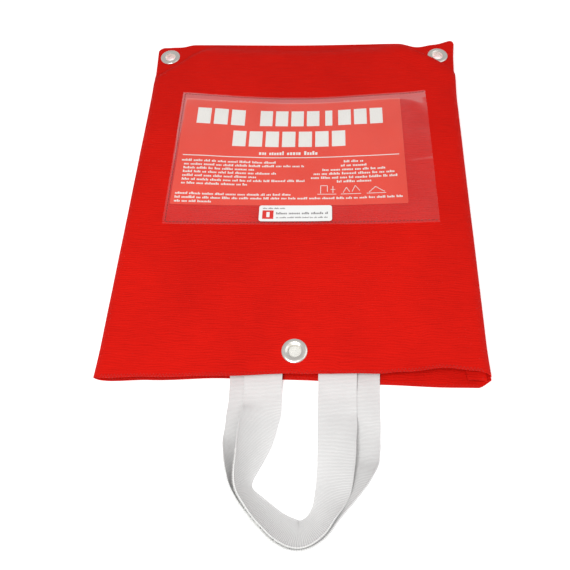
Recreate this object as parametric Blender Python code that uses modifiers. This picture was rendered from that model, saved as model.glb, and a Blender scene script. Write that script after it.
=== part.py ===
"""Fire blanket folded in a soft wall pouch, lying on its back.

Metres, +Z up. The pouch's top end, with its two hanging eyelets, points to +Y. The mouth, with
the blanket's pull tapes, points to -Y. Everything is placed from an empty at the middle of the
mouth, on the surface that the pouch lies on. That empty stands so that the box around the whole
object has the middle of its underside at the world's origin.
"""

import math

import bmesh
import bpy
from mathutils import Vector

# Cloth and clearances
CLOTH = 0.0010  # pouch cloth, one layer
GAP = 0.0003  # between pieces that touch
THREAD_RADIUS = 0.0003

# Folded blanket
STACK_WIDTH = 0.293
STACK_LENGTH = 0.325
STACK_HEIGHT = 0.0130
STACK_EDGE_ROUND = 0.0035
STACK_SETBACK = 0.013  # from the mouth to the blanket's folded end

# Pouch
SIDE_ROOM = 0.0055  # between the blanket and the pouch's side crease, each side
TOP_ROOM = 0.032  # between the blanket and the pouch's top edge
HEAD_ROOM = 0.0021  # above the blanket, where the front eyelet's washer passes
SIDE_ROLL = 0.0085  # run over which a panel curves down to the side crease
TOP_ROLL = 0.022  # run over which a panel comes down to the top seam
TOP_FLAT = 0.002  # flat edge above the top seam
EAR_ROLL = 0.013  # run over which a panel comes down to an ear
EAR_SLANT = 1.19  # an ear's crease runs this far across for each unit down
EAR_FLAT = 0.0025  # flat cloth between an ear's crease and its eyelet's flange
EAR_SPREAD = 0.0035  # an unfilled end is this much wider, each side
EAR_ROUND = 0.006

# Eyelets
BORE_RADIUS = 0.0054
BARREL_WALL = 0.0005
FLANGE_RADIUS = 0.0103
FLANGE_HEIGHT = 0.0011
LIP_RADIUS = 0.0072
LIP_HEIGHT = 0.0005
WASHER_RADIUS = 0.0100
WASHER_THICKNESS = 0.0005
EAR_EYELET_IN = 0.0135  # from the pouch's side
EAR_EYELET_DOWN = 0.0150  # from the pouch's top edge
FRONT_EYELET_X = 0.005
FRONT_EYELET_UP = 0.0190  # from the mouth

# Label pocket, card and sticker
POCKET_WIDTH = 0.241
POCKET_LENGTH = 0.157
POCKET_X = 0.0035
POCKET_MIDDLE = 0.2180  # from the mouth
FILM = 0.0004
SEAM_MARGIN = 0.0030
STITCH_INSET = 0.0016
CARD_WIDTH = 0.212
CARD_LENGTH = 0.128
CARD_THICKNESS = 0.0004
CARD_FROM_LEFT = 0.0040
CARD_FROM_TOP = 0.0080
CARD_ROUND = 0.0015
STICKER_WIDTH = 0.064
STICKER_LENGTH = 0.0175
STICKER_THICKNESS = 0.0002
STICKER_X = 0.000
STICKER_FROM_BOTTOM = 0.0112  # from the pocket's bottom edge to the sticker's middle

# Pull tapes
TAPE_WIDTH = 0.030
TAPE_THICKNESS = 0.0012
TAPE_SEWN = 0.024  # length of tape sewn between the blanket's layers
TAPE_HINGE = 0.014  # from the mouth to where a tape bends up
TAPE_REST = 0.0002  # under the lower tape
TAPE_STEP = 0.0015  # from the lower tape to the one on it
OUTER_LAYER = 0.30  # height of the sewn ends in the blanket, as a share of its thickness
INNER_LAYER = 0.70

# Loop routes: x, distance out of the mouth, and lean in degrees (0 flat, 90 on edge), by hand
OUTER_ROUTE = (
    (-0.0310, 0.0140, 0), (-0.0310, 0.0200, 0), (-0.0310, 0.0260, 0), (-0.0305, 0.0390, 5),
    (-0.0300, 0.0530, 15), (-0.0310, 0.0660, 34), (-0.0305, 0.0780, 58), (-0.0255, 0.0900, 60),
    (-0.0140, 0.1015, 53), (0.0000, 0.1100, 47), (0.0130, 0.1135, 45), (0.0260, 0.1100, 47),
    (0.0390, 0.0990, 53), (0.0500, 0.0860, 57), (0.0565, 0.0710, 42), (0.0575, 0.0550, 18),
    (0.0572, 0.0390, 5), (0.0570, 0.0260, 0), (0.0570, 0.0200, 0), (0.0570, 0.0140, 0),
)
INNER_ROUTE = (
    (-0.0195, 0.0140, 0), (-0.0195, 0.0200, 0), (-0.0195, 0.0260, 0), (-0.0222, 0.0380, 5),
    (-0.0250, 0.0510, 13), (-0.0270, 0.0640, 30), (-0.0260, 0.0750, 54), (-0.0210, 0.0865, 60),
    (-0.0105, 0.0980, 53), (0.0020, 0.1065, 47), (0.0130, 0.1095, 45), (0.0240, 0.1060, 47),
    (0.0340, 0.0950, 53), (0.0395, 0.0820, 54), (0.0410, 0.0690, 40), (0.0405, 0.0540, 17),
    (0.0395, 0.0380, 5), (0.0390, 0.0260, 0), (0.0390, 0.0200, 0), (0.0390, 0.0140, 0),
)
STEPS_PER_SPAN = 3

# Sizes that follow from those above
POUCH_HEIGHT = STACK_HEIGHT + GAP + HEAD_ROOM  # clear height inside
POUCH_LENGTH = STACK_SETBACK + STACK_LENGTH + TOP_ROOM
FILLED_HALF = STACK_WIDTH / 2 + SIDE_ROOM
MIDDLE_Z = CLOTH + POUCH_HEIGHT / 2
FRONT_Z = 2 * CLOTH + POUCH_HEIGHT  # the front panel's outer face
STACK_Z = CLOTH + GAP + STACK_HEIGHT / 2
BARREL_RADIUS = BORE_RADIUS + BARREL_WALL
EAR_ACROSS = (EAR_EYELET_IN + EAR_SLANT * EAR_EYELET_DOWN
              + math.hypot(1, EAR_SLANT) * (FLANGE_RADIUS + EAR_FLAT))  # along the top edge
EAR_DOWN = EAR_ACROSS / EAR_SLANT  # down the side
CREASE_SLOPE = math.hypot(1 / EAR_ACROSS, 1 / EAR_DOWN)
# The blanket's two corners at the pouch's top are rounded until they clear the ears' creases
STACK_CORNER = ((1 + EAR_ROLL * CREASE_SLOPE - SIDE_ROOM / EAR_ACROSS - TOP_ROOM / EAR_DOWN)
                / ((1 - math.sqrt(0.5)) * (1 / EAR_ACROSS + 1 / EAR_DOWN)))
POCKET_RISE = FILM + CARD_THICKNESS + 2 * GAP  # from the film's foot to its top
POCKET_Z = FRONT_Z + GAP
# A lifted tape turns about the lower tape's middle, so a sewn end stops clear of the upper tape
HINGE_ROOM = TAPE_STEP + TAPE_THICKNESS / 2 + GAP


# Scene, materials and objects

def clear_scene():
    for old in list(bpy.data.objects):
        bpy.data.objects.remove(old)


def new_collection(name):
    made = bpy.data.collections.new(name)
    bpy.context.scene.collection.children.link(made)
    return made


def new_material(name, colour, roughness, metallic=0.0, alpha=1.0):
    made = bpy.data.materials.new(name)
    made.use_nodes = True
    shader = made.node_tree.nodes["Principled BSDF"]
    shader.inputs["Base Color"].default_value = (*colour, 1.0)
    shader.inputs["Roughness"].default_value = roughness
    shader.inputs["Metallic"].default_value = metallic
    shader.inputs["Alpha"].default_value = alpha
    return made


def new_object(name, data, material, place, parent):
    made = bpy.data.objects.new(name, data)
    place.objects.link(made)
    made.parent = parent
    if material is not None:
        data.materials.append(material)
    return made


def new_empty(name, place, location, parent=None):
    made = bpy.data.objects.new(name, None)
    place.objects.link(made)
    made.location = location
    made.parent = parent
    return made


def as_cutter(made):
    made.hide_render = True
    made.display_type = "WIRE"
    return made


def cut(target, cutter):
    step = target.modifiers.new("cut " + cutter.name, "BOOLEAN")
    step.operation = "DIFFERENCE"
    step.solver = "EXACT"
    step.object = cutter


def smooth(mesh, angle_degrees=40):
    mesh.shade_smooth()
    mesh.set_sharp_from_angle(angle=math.radians(angle_degrees))


# Basic shapes

def block_mesh(name, size, corner=0.0, segments=3):
    """A box around its own middle, with its four upright edges rounded to the radius corner."""
    form = bmesh.new()
    bmesh.ops.create_cube(form, size=1.0)
    bmesh.ops.scale(form, vec=size, verts=form.verts)
    if corner > 0:
        upright = [e for e in form.edges if abs(e.verts[0].co.z - e.verts[1].co.z) > size[2] / 2]
        bmesh.ops.bevel(form, geom=upright, offset=corner, segments=segments, affect="EDGES",
                        profile=0.5)
    mesh = bpy.data.meshes.new(name)
    form.to_mesh(mesh)
    form.free()
    return mesh


def disc_mesh(name, radius, height, sides=32):
    form = bmesh.new()
    bmesh.ops.create_cone(form, cap_ends=True, segments=sides, radius1=radius, radius2=radius,
                          depth=height)
    mesh = bpy.data.meshes.new(name)
    form.to_mesh(mesh)
    form.free()
    return mesh


def turned(name, profile, material, place, parent, location, steps=32):
    """A ring turned about Z from a closed profile of (radius, height) points."""
    form = bmesh.new()
    points = [form.verts.new((radius, 0, height)) for radius, height in profile]
    for first, second in zip(points, points[1:] + points[:1]):
        form.edges.new((first, second))
    mesh = bpy.data.meshes.new(name)
    form.to_mesh(mesh)
    form.free()
    made = new_object(name, mesh, material, place, parent)
    made.location = location
    turn = made.modifiers.new("turn", "SCREW")
    turn.axis = "Z"
    turn.steps = steps
    turn.render_steps = steps
    turn.use_merge_vertices = True
    turn.merge_threshold = 0.00001
    turn.use_smooth_shade = True
    return made


def strand(name, points, radius, material, place, parent, closed=False):
    """A round thread along a list of points."""
    curve = bpy.data.curves.new(name, "CURVE")
    curve.dimensions = "3D"
    curve.bevel_depth = radius
    curve.bevel_resolution = 1
    curve.use_fill_caps = not closed
    spline = curve.splines.new("POLY")
    spline.points.add(len(points) - 1)
    for point, co in zip(spline.points, points):
        point.co = (*co, 1.0)
    spline.use_cyclic_u = closed
    return new_object(name, curve, material, place, parent)


def ribbon(name, points, leans, material, place, parent):
    """A flat tape along points. A lean of 0 lays it flat and 90 stands it on its edge."""
    curve = bpy.data.curves.new(name, "CURVE")
    curve.dimensions = "3D"
    curve.twist_mode = "Z_UP"
    curve.bevel_depth = TAPE_THICKNESS / 2
    curve.extrude = TAPE_WIDTH / 2 - TAPE_THICKNESS / 2
    curve.bevel_resolution = 1
    curve.use_fill_caps = True
    spline = curve.splines.new("POLY")
    spline.points.add(len(points) - 1)
    for point, co, lean in zip(spline.points, points, leans):
        point.co = (*co, 1.0)
        point.tilt = math.radians(90 - lean)
    return new_object(name, curve, material, place, parent)


# Pouch panels

def ease(share):
    """0 to 1 along a quarter wave."""
    return math.sin(math.pi / 2 * min(max(share, 0.0), 1.0))


def swell(share):
    """0 to 1 along half a wave, level at both ends."""
    return (1.0 - math.cos(math.pi * min(max(share, 0.0), 1.0))) / 2


def quarter_round(share):
    """0 to 1 along a quarter circle, steep at the start."""
    left = 1.0 - min(max(share, 0.0), 1.0)
    return math.sqrt(1.0 - left * left)


def half_width(y):
    """From the pouch's middle line to its side crease: the unfilled ends spread wider."""
    from_top = (POUCH_LENGTH - y) / (2 * EAR_DOWN)
    from_mouth = (y + STACK_SETBACK) / EAR_DOWN
    return FILLED_HALF + EAR_SPREAD * (1 - ease(from_top)) + EAR_SPREAD * (1 - ease(from_mouth)) / 2


def fullness(x, y, side):
    """How far the panels stand apart, from 0 on a seam or an ear to 1 over the blanket."""
    over_side = quarter_round((side - abs(x)) / SIDE_ROLL)
    over_top = ease((POUCH_LENGTH - TOP_FLAT - y) / TOP_ROLL)
    past_crease = (side - abs(x)) / EAR_ACROSS + (POUCH_LENGTH - y) / EAR_DOWN - 1
    over_ear = swell(past_crease / CREASE_SLOPE / EAR_ROLL)
    return over_side * over_top * over_ear


def panel_z(x, y, side, up):
    """Height of a panel's inner face: up is 1 for the front panel and -1 for the back one."""
    apart = GAP / 2 + (POUCH_HEIGHT - GAP) / 2 * fullness(x, y, side)
    return MIDDLE_Z + up * apart


def panel_columns():
    """Places across a panel, as shares of its half width: close together where it curves."""
    roll = SIDE_ROLL / FILLED_HALF
    curved = [1 - roll * share for share in (0.0, 0.04, 0.16, 0.36, 0.64, 1.0)]
    ear_end = 1 - EAR_ACROSS / FILLED_HALF
    ear = [curved[-1] + (ear_end - curved[-1]) * step / 9 for step in range(1, 10)]
    flat = [ear_end * (1 - step / 4) for step in range(1, 4)]
    half = curved + ear + flat
    return [-share for share in half] + [0.0] + half[::-1]


def panel_rows():
    """Places along a panel, from the mouth to the top edge."""
    ear_start = POUCH_LENGTH - EAR_DOWN - EAR_ROLL
    plain = [ear_start * step / 7 for step in range(7)]
    ear = [ear_start + (POUCH_LENGTH - TOP_FLAT - ear_start) * step / 14 for step in range(15)]
    return plain + ear + [POUCH_LENGTH]


def round_corner(x, y, side):
    """Moves a point of a square top corner onto a corner rounded to EAR_ROUND."""
    across = 1 - (side - abs(x)) / EAR_ROUND
    along = 1 - (POUCH_LENGTH - y) / EAR_ROUND
    if across <= 0 or along <= 0:
        return x, y
    round_x = side - EAR_ROUND * (1 - across * math.sqrt(1 - along * along / 2))
    round_y = POUCH_LENGTH - EAR_ROUND * (1 - along * math.sqrt(1 - across * across / 2))
    return math.copysign(round_x, x), round_y


def panel(name, up, material, place, parent):
    """One layer of cloth over the blanket, with its thickness on the outer side."""
    columns, rows = panel_columns(), panel_rows()
    form = bmesh.new()
    bmesh.ops.create_grid(form, x_segments=len(columns) - 1, y_segments=len(rows) - 1, size=0.5)
    for vertex in form.verts:
        share = columns[round((vertex.co.x + 0.5) * (len(columns) - 1))]
        y = rows[round((vertex.co.y + 0.5) * (len(rows) - 1))]
        side = half_width(y)
        x = share * side
        vertex.co = (*round_corner(x, y, side), panel_z(x, y, side, up))
    if up < 0:
        bmesh.ops.reverse_faces(form, faces=form.faces)
    mesh = bpy.data.meshes.new(name)
    form.to_mesh(mesh)
    form.free()
    smooth(mesh)
    made = new_object(name, mesh, material, place, parent)
    wall = made.modifiers.new("cloth", "SOLIDIFY")
    wall.thickness = CLOTH
    wall.offset = 1.0
    wall.use_even_offset = False
    return made


def mouth_edge(name, up, material, place, parent):
    """The overlock thread along a panel's mouth edge, in front of the cloth."""
    side = half_width(0.0)
    shares = [share for share in panel_columns() if abs(share) < 1 - 0.3 * SIDE_ROLL / side]
    points = []
    for share in shares:
        z = panel_z(share * side, 0.0, side, up) + up * CLOTH / 2
        points.append((share * side, -(GAP + THREAD_RADIUS), z))
    return strand(name, points, THREAD_RADIUS, material, place, parent)


def seam_threads(material, place, parent):
    """Threads of the side and top seams, inside the pouch."""
    end = POUCH_LENGTH - EAR_DOWN - EAR_ROLL
    for name, way in (("left_seam_thread", -1), ("right_seam_thread", 1)):
        points = []
        for step in range(9):
            y = GAP * 10 + (end - GAP * 10) * step / 8
            points.append((way * (half_width(y) - SIDE_ROOM * 0.45), y, MIDDLE_Z))
        strand(name, points, THREAD_RADIUS, material, place, parent)
    y = POUCH_LENGTH - TOP_FLAT - TOP_ROLL * 0.3
    reach = FILLED_HALF - EAR_ACROSS - EAR_ROLL
    strand("top_seam_thread", [(-reach, y, MIDDLE_Z), (0, y, MIDDLE_Z), (reach, y, MIDDLE_Z)],
           THREAD_RADIUS, material, place, parent)


# Eyelets

def eyelet_pair(name, x, y, top_z, stack, metal, place, parent):
    """An eyelet whose flange rests on cloth at top_z, and the washer behind that stack of cloth."""
    under_cloth = stack + 2 * GAP
    lip_top = under_cloth + WASHER_THICKNESS + GAP
    profile = [
        (BARREL_RADIUS + FLANGE_HEIGHT, FLANGE_HEIGHT),
        ((BARREL_RADIUS + FLANGE_RADIUS) / 2 + FLANGE_HEIGHT / 2, FLANGE_HEIGHT * 0.95),
        (FLANGE_RADIUS - FLANGE_HEIGHT * 0.3, FLANGE_HEIGHT * 0.55),
        (FLANGE_RADIUS, FLANGE_HEIGHT * 0.15),
        (FLANGE_RADIUS - FLANGE_HEIGHT * 0.15, 0.0),
        (BARREL_RADIUS, 0.0),
        (BARREL_RADIUS, -lip_top),
        (LIP_RADIUS, -lip_top),
        (LIP_RADIUS, -lip_top - LIP_HEIGHT * 0.6),
        (LIP_RADIUS - LIP_HEIGHT, -lip_top - LIP_HEIGHT),
        (BORE_RADIUS + LIP_HEIGHT * 0.6, -lip_top - LIP_HEIGHT),
        (BORE_RADIUS, -lip_top - LIP_HEIGHT * 0.4),
        (BORE_RADIUS, FLANGE_HEIGHT * 0.3),
        (BORE_RADIUS + FLANGE_HEIGHT * 0.3, FLANGE_HEIGHT * 0.8),
    ]
    turned(name, profile, metal, place, parent, (x, y, top_z + GAP))
    washer_top = -under_cloth
    ring = [
        (WASHER_RADIUS, washer_top),
        (WASHER_RADIUS, washer_top - WASHER_THICKNESS),
        (BARREL_RADIUS + GAP, washer_top - WASHER_THICKNESS),
        (BARREL_RADIUS + GAP, washer_top),
    ]
    turned(name + "_washer", ring, metal, place, parent, (x, y, top_z + GAP))


def eyelet_hole(name, x, y, low_z, high_z, place, parent):
    radius = BARREL_RADIUS + GAP
    hole = new_object(name, disc_mesh(name, radius, high_z - low_z), None, place, parent)
    hole.location = (x, y, (low_z + high_z) / 2)
    return as_cutter(hole)


def eyelets(front_panel, back_panel, metal, place, cutters, parent):
    ear_y = POUCH_LENGTH - EAR_EYELET_DOWN
    ear_x = half_width(ear_y) - EAR_EYELET_IN
    ear_stack = 2 * CLOTH + GAP
    ear_top = MIDDLE_Z + ear_stack / 2
    for side, way in (("left", -1), ("right", 1)):
        name = "top_" + side + "_eyelet"
        eyelet_pair(name, way * ear_x, ear_y, ear_top, ear_stack, metal, place, parent)
        hole = eyelet_hole(name + "_hole", way * ear_x, ear_y, 0.0, FRONT_Z, cutters, parent)
        cut(front_panel, hole)
        cut(back_panel, hole)
    eyelet_pair("front_eyelet", FRONT_EYELET_X, FRONT_EYELET_UP, FRONT_Z, CLOTH, metal, place,
                parent)
    hole = eyelet_hole("front_eyelet_hole", FRONT_EYELET_X, FRONT_EYELET_UP, FRONT_Z - 3 * CLOTH,
                       FRONT_Z + 2 * CLOTH, cutters, parent)
    cut(front_panel, hole)


# Label

def label_pocket(film, thread, place, cutters, parent):
    """Clear film sewn to the front panel along three sides and open at the right."""
    middle = Vector((POCKET_X, POCKET_MIDDLE, POCKET_Z + POCKET_RISE / 2))
    pocket = new_object("label_pocket_film",
                        block_mesh("label_pocket_film", (POCKET_WIDTH, POCKET_LENGTH, POCKET_RISE),
                                   SEAM_MARGIN / 2),
                        film, place, parent)
    pocket.location = middle
    room = (POCKET_WIDTH, POCKET_LENGTH - 2 * SEAM_MARGIN, 2 * (POCKET_RISE - FILM))
    inside = new_object("pocket_inside", block_mesh("pocket_inside", room), None, cutters, parent)
    inside.location = (POCKET_X + SEAM_MARGIN, POCKET_MIDDLE, POCKET_Z)
    cut(pocket, as_cutter(inside))
    left = POCKET_X - POCKET_WIDTH / 2 + STITCH_INSET
    right = POCKET_X + POCKET_WIDTH / 2 - STITCH_INSET
    low = POCKET_MIDDLE - POCKET_LENGTH / 2 + STITCH_INSET
    high = POCKET_MIDDLE + POCKET_LENGTH / 2 - STITCH_INSET
    spare = 2 * THREAD_RADIUS + GAP  # keeps the rows of stitches clear of each other
    z = POCKET_Z + POCKET_RISE + GAP + THREAD_RADIUS
    rows = {
        "pocket_stitching_left": ((left, low + spare, z), (left, high - spare, z)),
        "pocket_stitching_top": ((left, high, z), (right, high, z)),
        "pocket_stitching_bottom": ((left, low, z), (right, low, z)),
    }
    for name, ends in rows.items():
        strand(name, ends, THREAD_RADIUS, thread, place, parent)


def label_card(paper, place, parent):
    mesh = block_mesh("label_card", (CARD_WIDTH, CARD_LENGTH, CARD_THICKNESS), CARD_ROUND)
    card = new_object("label_card", mesh, paper, place, parent)
    x = POCKET_X - POCKET_WIDTH / 2 + CARD_FROM_LEFT + CARD_WIDTH / 2
    y = POCKET_MIDDLE + POCKET_LENGTH / 2 - CARD_FROM_TOP - CARD_LENGTH / 2
    card.location = (x, y, POCKET_Z + GAP + CARD_THICKNESS / 2)


def sticker(paper, place, parent):
    mesh = block_mesh("sticker", (STICKER_WIDTH, STICKER_LENGTH, STICKER_THICKNESS), 0.0015)
    made = new_object("sticker", mesh, paper, place, parent)
    y = POCKET_MIDDLE - POCKET_LENGTH / 2 + STICKER_FROM_BOTTOM
    made.location = (STICKER_X, y, POCKET_Z + POCKET_RISE + GAP + STICKER_THICKNESS / 2)


# Blanket and pull tapes

def folded_blanket(cloth, place, cutters, parent):
    """The stack of folded layers, with a slit between two layers for each sewn tape end."""
    form = bmesh.new()
    bmesh.ops.create_cube(form, size=1.0)
    bmesh.ops.scale(form, vec=(STACK_WIDTH, STACK_LENGTH, STACK_HEIGHT), verts=form.verts)
    corners = [e for e in form.edges
               if abs(e.verts[0].co.z - e.verts[1].co.z) > STACK_HEIGHT / 2
               and e.verts[0].co.y > 0]
    bmesh.ops.bevel(form, geom=corners, offset=STACK_CORNER, segments=5, affect="EDGES",
                    profile=0.5)
    mesh = bpy.data.meshes.new("folded_blanket")
    form.to_mesh(mesh)
    form.free()
    smooth(mesh)
    blanket = new_object("folded_blanket", mesh, cloth, place, parent)
    blanket.location = (0, STACK_SETBACK + STACK_LENGTH / 2, STACK_Z)
    edge = blanket.modifiers.new("rounded folds", "BEVEL")
    edge.width = STACK_EDGE_ROUND
    edge.segments = 3
    edge.limit_method = "ANGLE"
    edge.angle_limit = math.radians(60)
    slit = (TAPE_WIDTH + 3 * GAP, 2 * (TAPE_SEWN + GAP), TAPE_THICKNESS + 5 * GAP)
    for name, x, layer in tape_ends():
        cutter = new_object(name + "_slit", block_mesh(name + "_slit", slit), None, cutters, parent)
        cutter.location = (x, STACK_SETBACK, layer_z(layer) + GAP)
        cut(blanket, as_cutter(cutter))


def layer_z(layer):
    return CLOTH + GAP + layer * STACK_HEIGHT


def tape_ends():
    """Name, place across the mouth and layer of each sewn end."""
    return (
        ("outer_tape_left_end", OUTER_ROUTE[0][0], OUTER_LAYER),
        ("outer_tape_right_end", OUTER_ROUTE[-1][0], OUTER_LAYER),
        ("inner_tape_left_end", INNER_ROUTE[0][0], INNER_LAYER),
        ("inner_tape_right_end", INNER_ROUTE[-1][0], INNER_LAYER),
    )


def hinge_z(layer):
    """Height of the middle of a tape where it comes down to the surface."""
    on_top = TAPE_STEP if layer == INNER_LAYER else 0.0
    return TAPE_REST + TAPE_THICKNESS / 2 + on_top


def sewn_ends(webbing, thread, place, parent):
    """The tape ends that go from the hinge line through the mouth into the blanket."""
    out, sewn = -(TAPE_HINGE - HINGE_ROOM), STACK_SETBACK + TAPE_SEWN
    for name, x, layer in tape_ends():
        points = [(x, sewn, layer_z(layer)), (x, STACK_SETBACK, layer_z(layer))]
        steps = 8
        for step in range(1, steps + 1):
            share = step / steps
            y = STACK_SETBACK + (out - STACK_SETBACK) * share
            drop = (1 - math.cos(math.pi * share)) / 2
            points.append((x, y, layer_z(layer) + (hinge_z(layer) - layer_z(layer)) * drop))
        ribbon(name, points, [0] * len(points), webbing, place, parent)
        across, along = TAPE_WIDTH * 0.4, TAPE_SEWN * 0.4
        middle = STACK_SETBACK + TAPE_SEWN / 2
        z = layer_z(layer) + TAPE_THICKNESS / 2 + GAP + THREAD_RADIUS * 0.6
        box = [(x - across, middle - along, z), (x + across, middle - along, z),
               (x + across, middle + along, z), (x - across, middle + along, z)]
        strand(name.replace("_end", "_box_stitch"), box, THREAD_RADIUS * 0.6, thread, place,
               parent, closed=True)


def smooth_route(route):
    """Points between the route's own points on a Catmull-Rom curve, each (x, out, lean)."""
    knots = [Vector(route[0])] + [Vector(point) for point in route] + [Vector(route[-1])]
    points = []
    for before, start, end, after in zip(knots, knots[1:], knots[2:], knots[3:]):
        for step in range(STEPS_PER_SPAN):
            t = step / STEPS_PER_SPAN
            points.append(0.5 * (2 * start + (end - before) * t
                                 + (2 * before - 5 * start + 4 * end - after) * t ** 2
                                 + (3 * start - before - 3 * end + after) * t ** 3))
    return points + [knots[-1]]


def pull_tape(name, route, layer, webbing, place, hinge):
    """A loop of webbing that lies flat at its ends and stands up outwards round the turn."""
    on_top = hinge_z(layer) - hinge_z(OUTER_LAYER)
    points, leans = [], []
    for x, out, lean in smooth_route(route):
        lean = max(lean, 0.0)
        tip = math.radians(lean)
        z = TAPE_REST + (math.sin(tip) * TAPE_WIDTH
                         + math.cos(tip) * TAPE_THICKNESS) / 2 + math.cos(tip) * on_top
        points.append(Vector((x, -out, z)) - hinge.location)
        leans.append(lean)
    ribbon(name, points, leans, webbing, place, hinge)


def tape_reach():
    """From the mouth to the far edge of the outer loop."""
    edges = []
    for _, out, lean in smooth_route(OUTER_ROUTE):
        tip = math.radians(lean)
        edges.append(out + (math.cos(tip) * TAPE_WIDTH + math.sin(tip) * TAPE_THICKNESS) / 2)
    return max(edges)


def main():
    clear_scene()
    parts = new_collection("fire_blanket")
    cutters = new_collection("cutters")
    cotton = new_material("red cotton", (0.62, 0.010, 0.006), 0.85)
    red_thread = new_material("red thread", (0.55, 0.012, 0.008), 0.7)
    nickel = new_material("nickel", (0.78, 0.77, 0.74), 0.25, metallic=1.0)
    film = new_material("clear film", (0.85, 0.85, 0.85), 0.15, alpha=0.3)
    card = new_material("printed card", (0.80, 0.055, 0.035), 0.55)
    label = new_material("sticker", (0.85, 0.85, 0.83), 0.5)
    glass_cloth = new_material("glass cloth", (0.82, 0.81, 0.77), 0.6)
    webbing = new_material("white webbing", (0.80, 0.80, 0.80), 0.8)
    white_thread = new_material("white thread", (0.82, 0.82, 0.80), 0.7)

    mouth = new_empty("mouth", parts, (0, (tape_reach() - POUCH_LENGTH) / 2, 0))
    blanket_slide = new_empty("blanket_slide", parts, (0, 0, 0), mouth)
    card_slide = new_empty("card_slide", parts, (0, 0, 0), mouth)
    outer_hinge = new_empty("outer_tape_hinge", parts,
                            (0, -TAPE_HINGE, hinge_z(OUTER_LAYER)), blanket_slide)
    inner_hinge = new_empty("inner_tape_hinge", parts,
                            (0, -TAPE_HINGE, hinge_z(OUTER_LAYER)), blanket_slide)

    front_panel = panel("pouch_front_panel", 1, cotton, parts, mouth)
    back_panel = panel("pouch_back_panel", -1, cotton, parts, mouth)
    mouth_edge("front_mouth_thread", 1, red_thread, parts, mouth)
    mouth_edge("back_mouth_thread", -1, red_thread, parts, mouth)
    seam_threads(red_thread, parts, mouth)
    eyelets(front_panel, back_panel, nickel, parts, cutters, mouth)
    label_pocket(film, red_thread, parts, cutters, mouth)
    sticker(label, parts, mouth)
    label_card(card, parts, card_slide)
    folded_blanket(glass_cloth, parts, cutters, blanket_slide)
    sewn_ends(webbing, white_thread, parts, blanket_slide)
    pull_tape("outer_pull_tape", OUTER_ROUTE, OUTER_LAYER, webbing, parts, outer_hinge)
    pull_tape("inner_pull_tape", INNER_ROUTE, INNER_LAYER, webbing, parts, inner_hinge)
    bpy.context.view_layer.update()


main()
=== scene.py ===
"""Looks of a fire blanket folded in a soft red wall pouch, lying on its back.

Metres, +Z up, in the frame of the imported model. In the pouch's own methods, y is measured from
its mouth towards its top end, and MOUTH_Y is added to give the model's coordinate.
"""

import logging
import math
import random
from dataclasses import dataclass
from enum import Enum
from typing import Callable, Iterable, Sequence

import bmesh
import bpy
from mathutils import Euler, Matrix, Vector, noise


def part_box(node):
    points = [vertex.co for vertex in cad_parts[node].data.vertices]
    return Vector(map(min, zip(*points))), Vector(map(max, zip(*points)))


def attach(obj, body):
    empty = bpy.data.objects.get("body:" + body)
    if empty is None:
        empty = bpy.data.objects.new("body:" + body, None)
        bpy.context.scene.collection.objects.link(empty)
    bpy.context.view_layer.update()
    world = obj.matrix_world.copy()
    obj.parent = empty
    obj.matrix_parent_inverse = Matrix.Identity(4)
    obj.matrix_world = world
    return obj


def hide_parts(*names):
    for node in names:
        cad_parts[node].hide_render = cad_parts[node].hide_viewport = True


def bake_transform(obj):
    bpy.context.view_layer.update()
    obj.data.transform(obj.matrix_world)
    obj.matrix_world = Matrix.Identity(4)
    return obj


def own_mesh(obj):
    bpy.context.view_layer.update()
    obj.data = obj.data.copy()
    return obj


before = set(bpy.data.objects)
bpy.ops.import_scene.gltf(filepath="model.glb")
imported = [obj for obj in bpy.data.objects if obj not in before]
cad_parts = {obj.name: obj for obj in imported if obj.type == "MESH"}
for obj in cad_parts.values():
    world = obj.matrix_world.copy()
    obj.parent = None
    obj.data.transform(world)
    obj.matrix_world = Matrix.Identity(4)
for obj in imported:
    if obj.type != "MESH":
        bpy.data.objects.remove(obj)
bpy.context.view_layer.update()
LOG = logging.getLogger("fire_blanket")

MOUTH_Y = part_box("pouch_back_panel")[0].y
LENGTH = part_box("pouch_back_panel")[1].y - MOUTH_Y
FRONT_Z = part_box("pouch_front_panel")[1].z
MIDDLE_Z = (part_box("left_seam_thread")[0].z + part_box("left_seam_thread")[1].z) / 2
CLOTH = 0.0010         # thickness of the cotton in the CAD
DRAWN_CLOTH = 0.0009   # thickness of the cotton that is drawn, a little under the CAD's
GAP = 0.0003           # room between layers that lie on each other
OUTWARDS = 1.0         # thickness put on the side that a sheet's faces look to
CENTRED = 0.0          # thickness put on both sides of a sheet


class Body(Enum):
    """The bodies that pieces ride on."""

    POUCH = "pouch"
    CARD = "card"
    BLANKET = "blanket"
    OUTER_TAPE = "outer_tape"
    INNER_TAPE = "inner_tape"


class Slot(Enum):
    """Names of the material slots."""

    COTTON = "red_cotton"
    RED_THREAD = "red_thread"
    NICKEL = "nickel"
    FILM = "clear_film"
    CARD = "printed_card"
    STICKER = "sticker_paper"
    GLASS_CLOTH = "glass_cloth"
    WEBBING = "white_webbing"
    WHITE_THREAD = "white_thread"


# Short mathematical helpers

def clamp(value: float) -> float:
    """Limits a value to 0 to 1."""
    return min(max(value, 0.0), 1.0)


def ease(share: float) -> float:
    """0 to 1 along a quarter wave, steep at the start."""
    return math.sin(math.pi / 2 * clamp(share))


def swell(share: float) -> float:
    """0 to 1 along half a wave, level at both ends."""
    return (1.0 - math.cos(math.pi * clamp(share))) / 2


def quarter_round(share: float) -> float:
    """0 to 1 along a quarter circle, upright at the start."""
    return math.sqrt(1.0 - (1.0 - clamp(share)) ** 2)


def bell(distance: float, reach: float) -> float:
    """1 at no distance, falling smoothly to 0 at reach."""
    return swell(1.0 - abs(distance) / reach)


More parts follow.
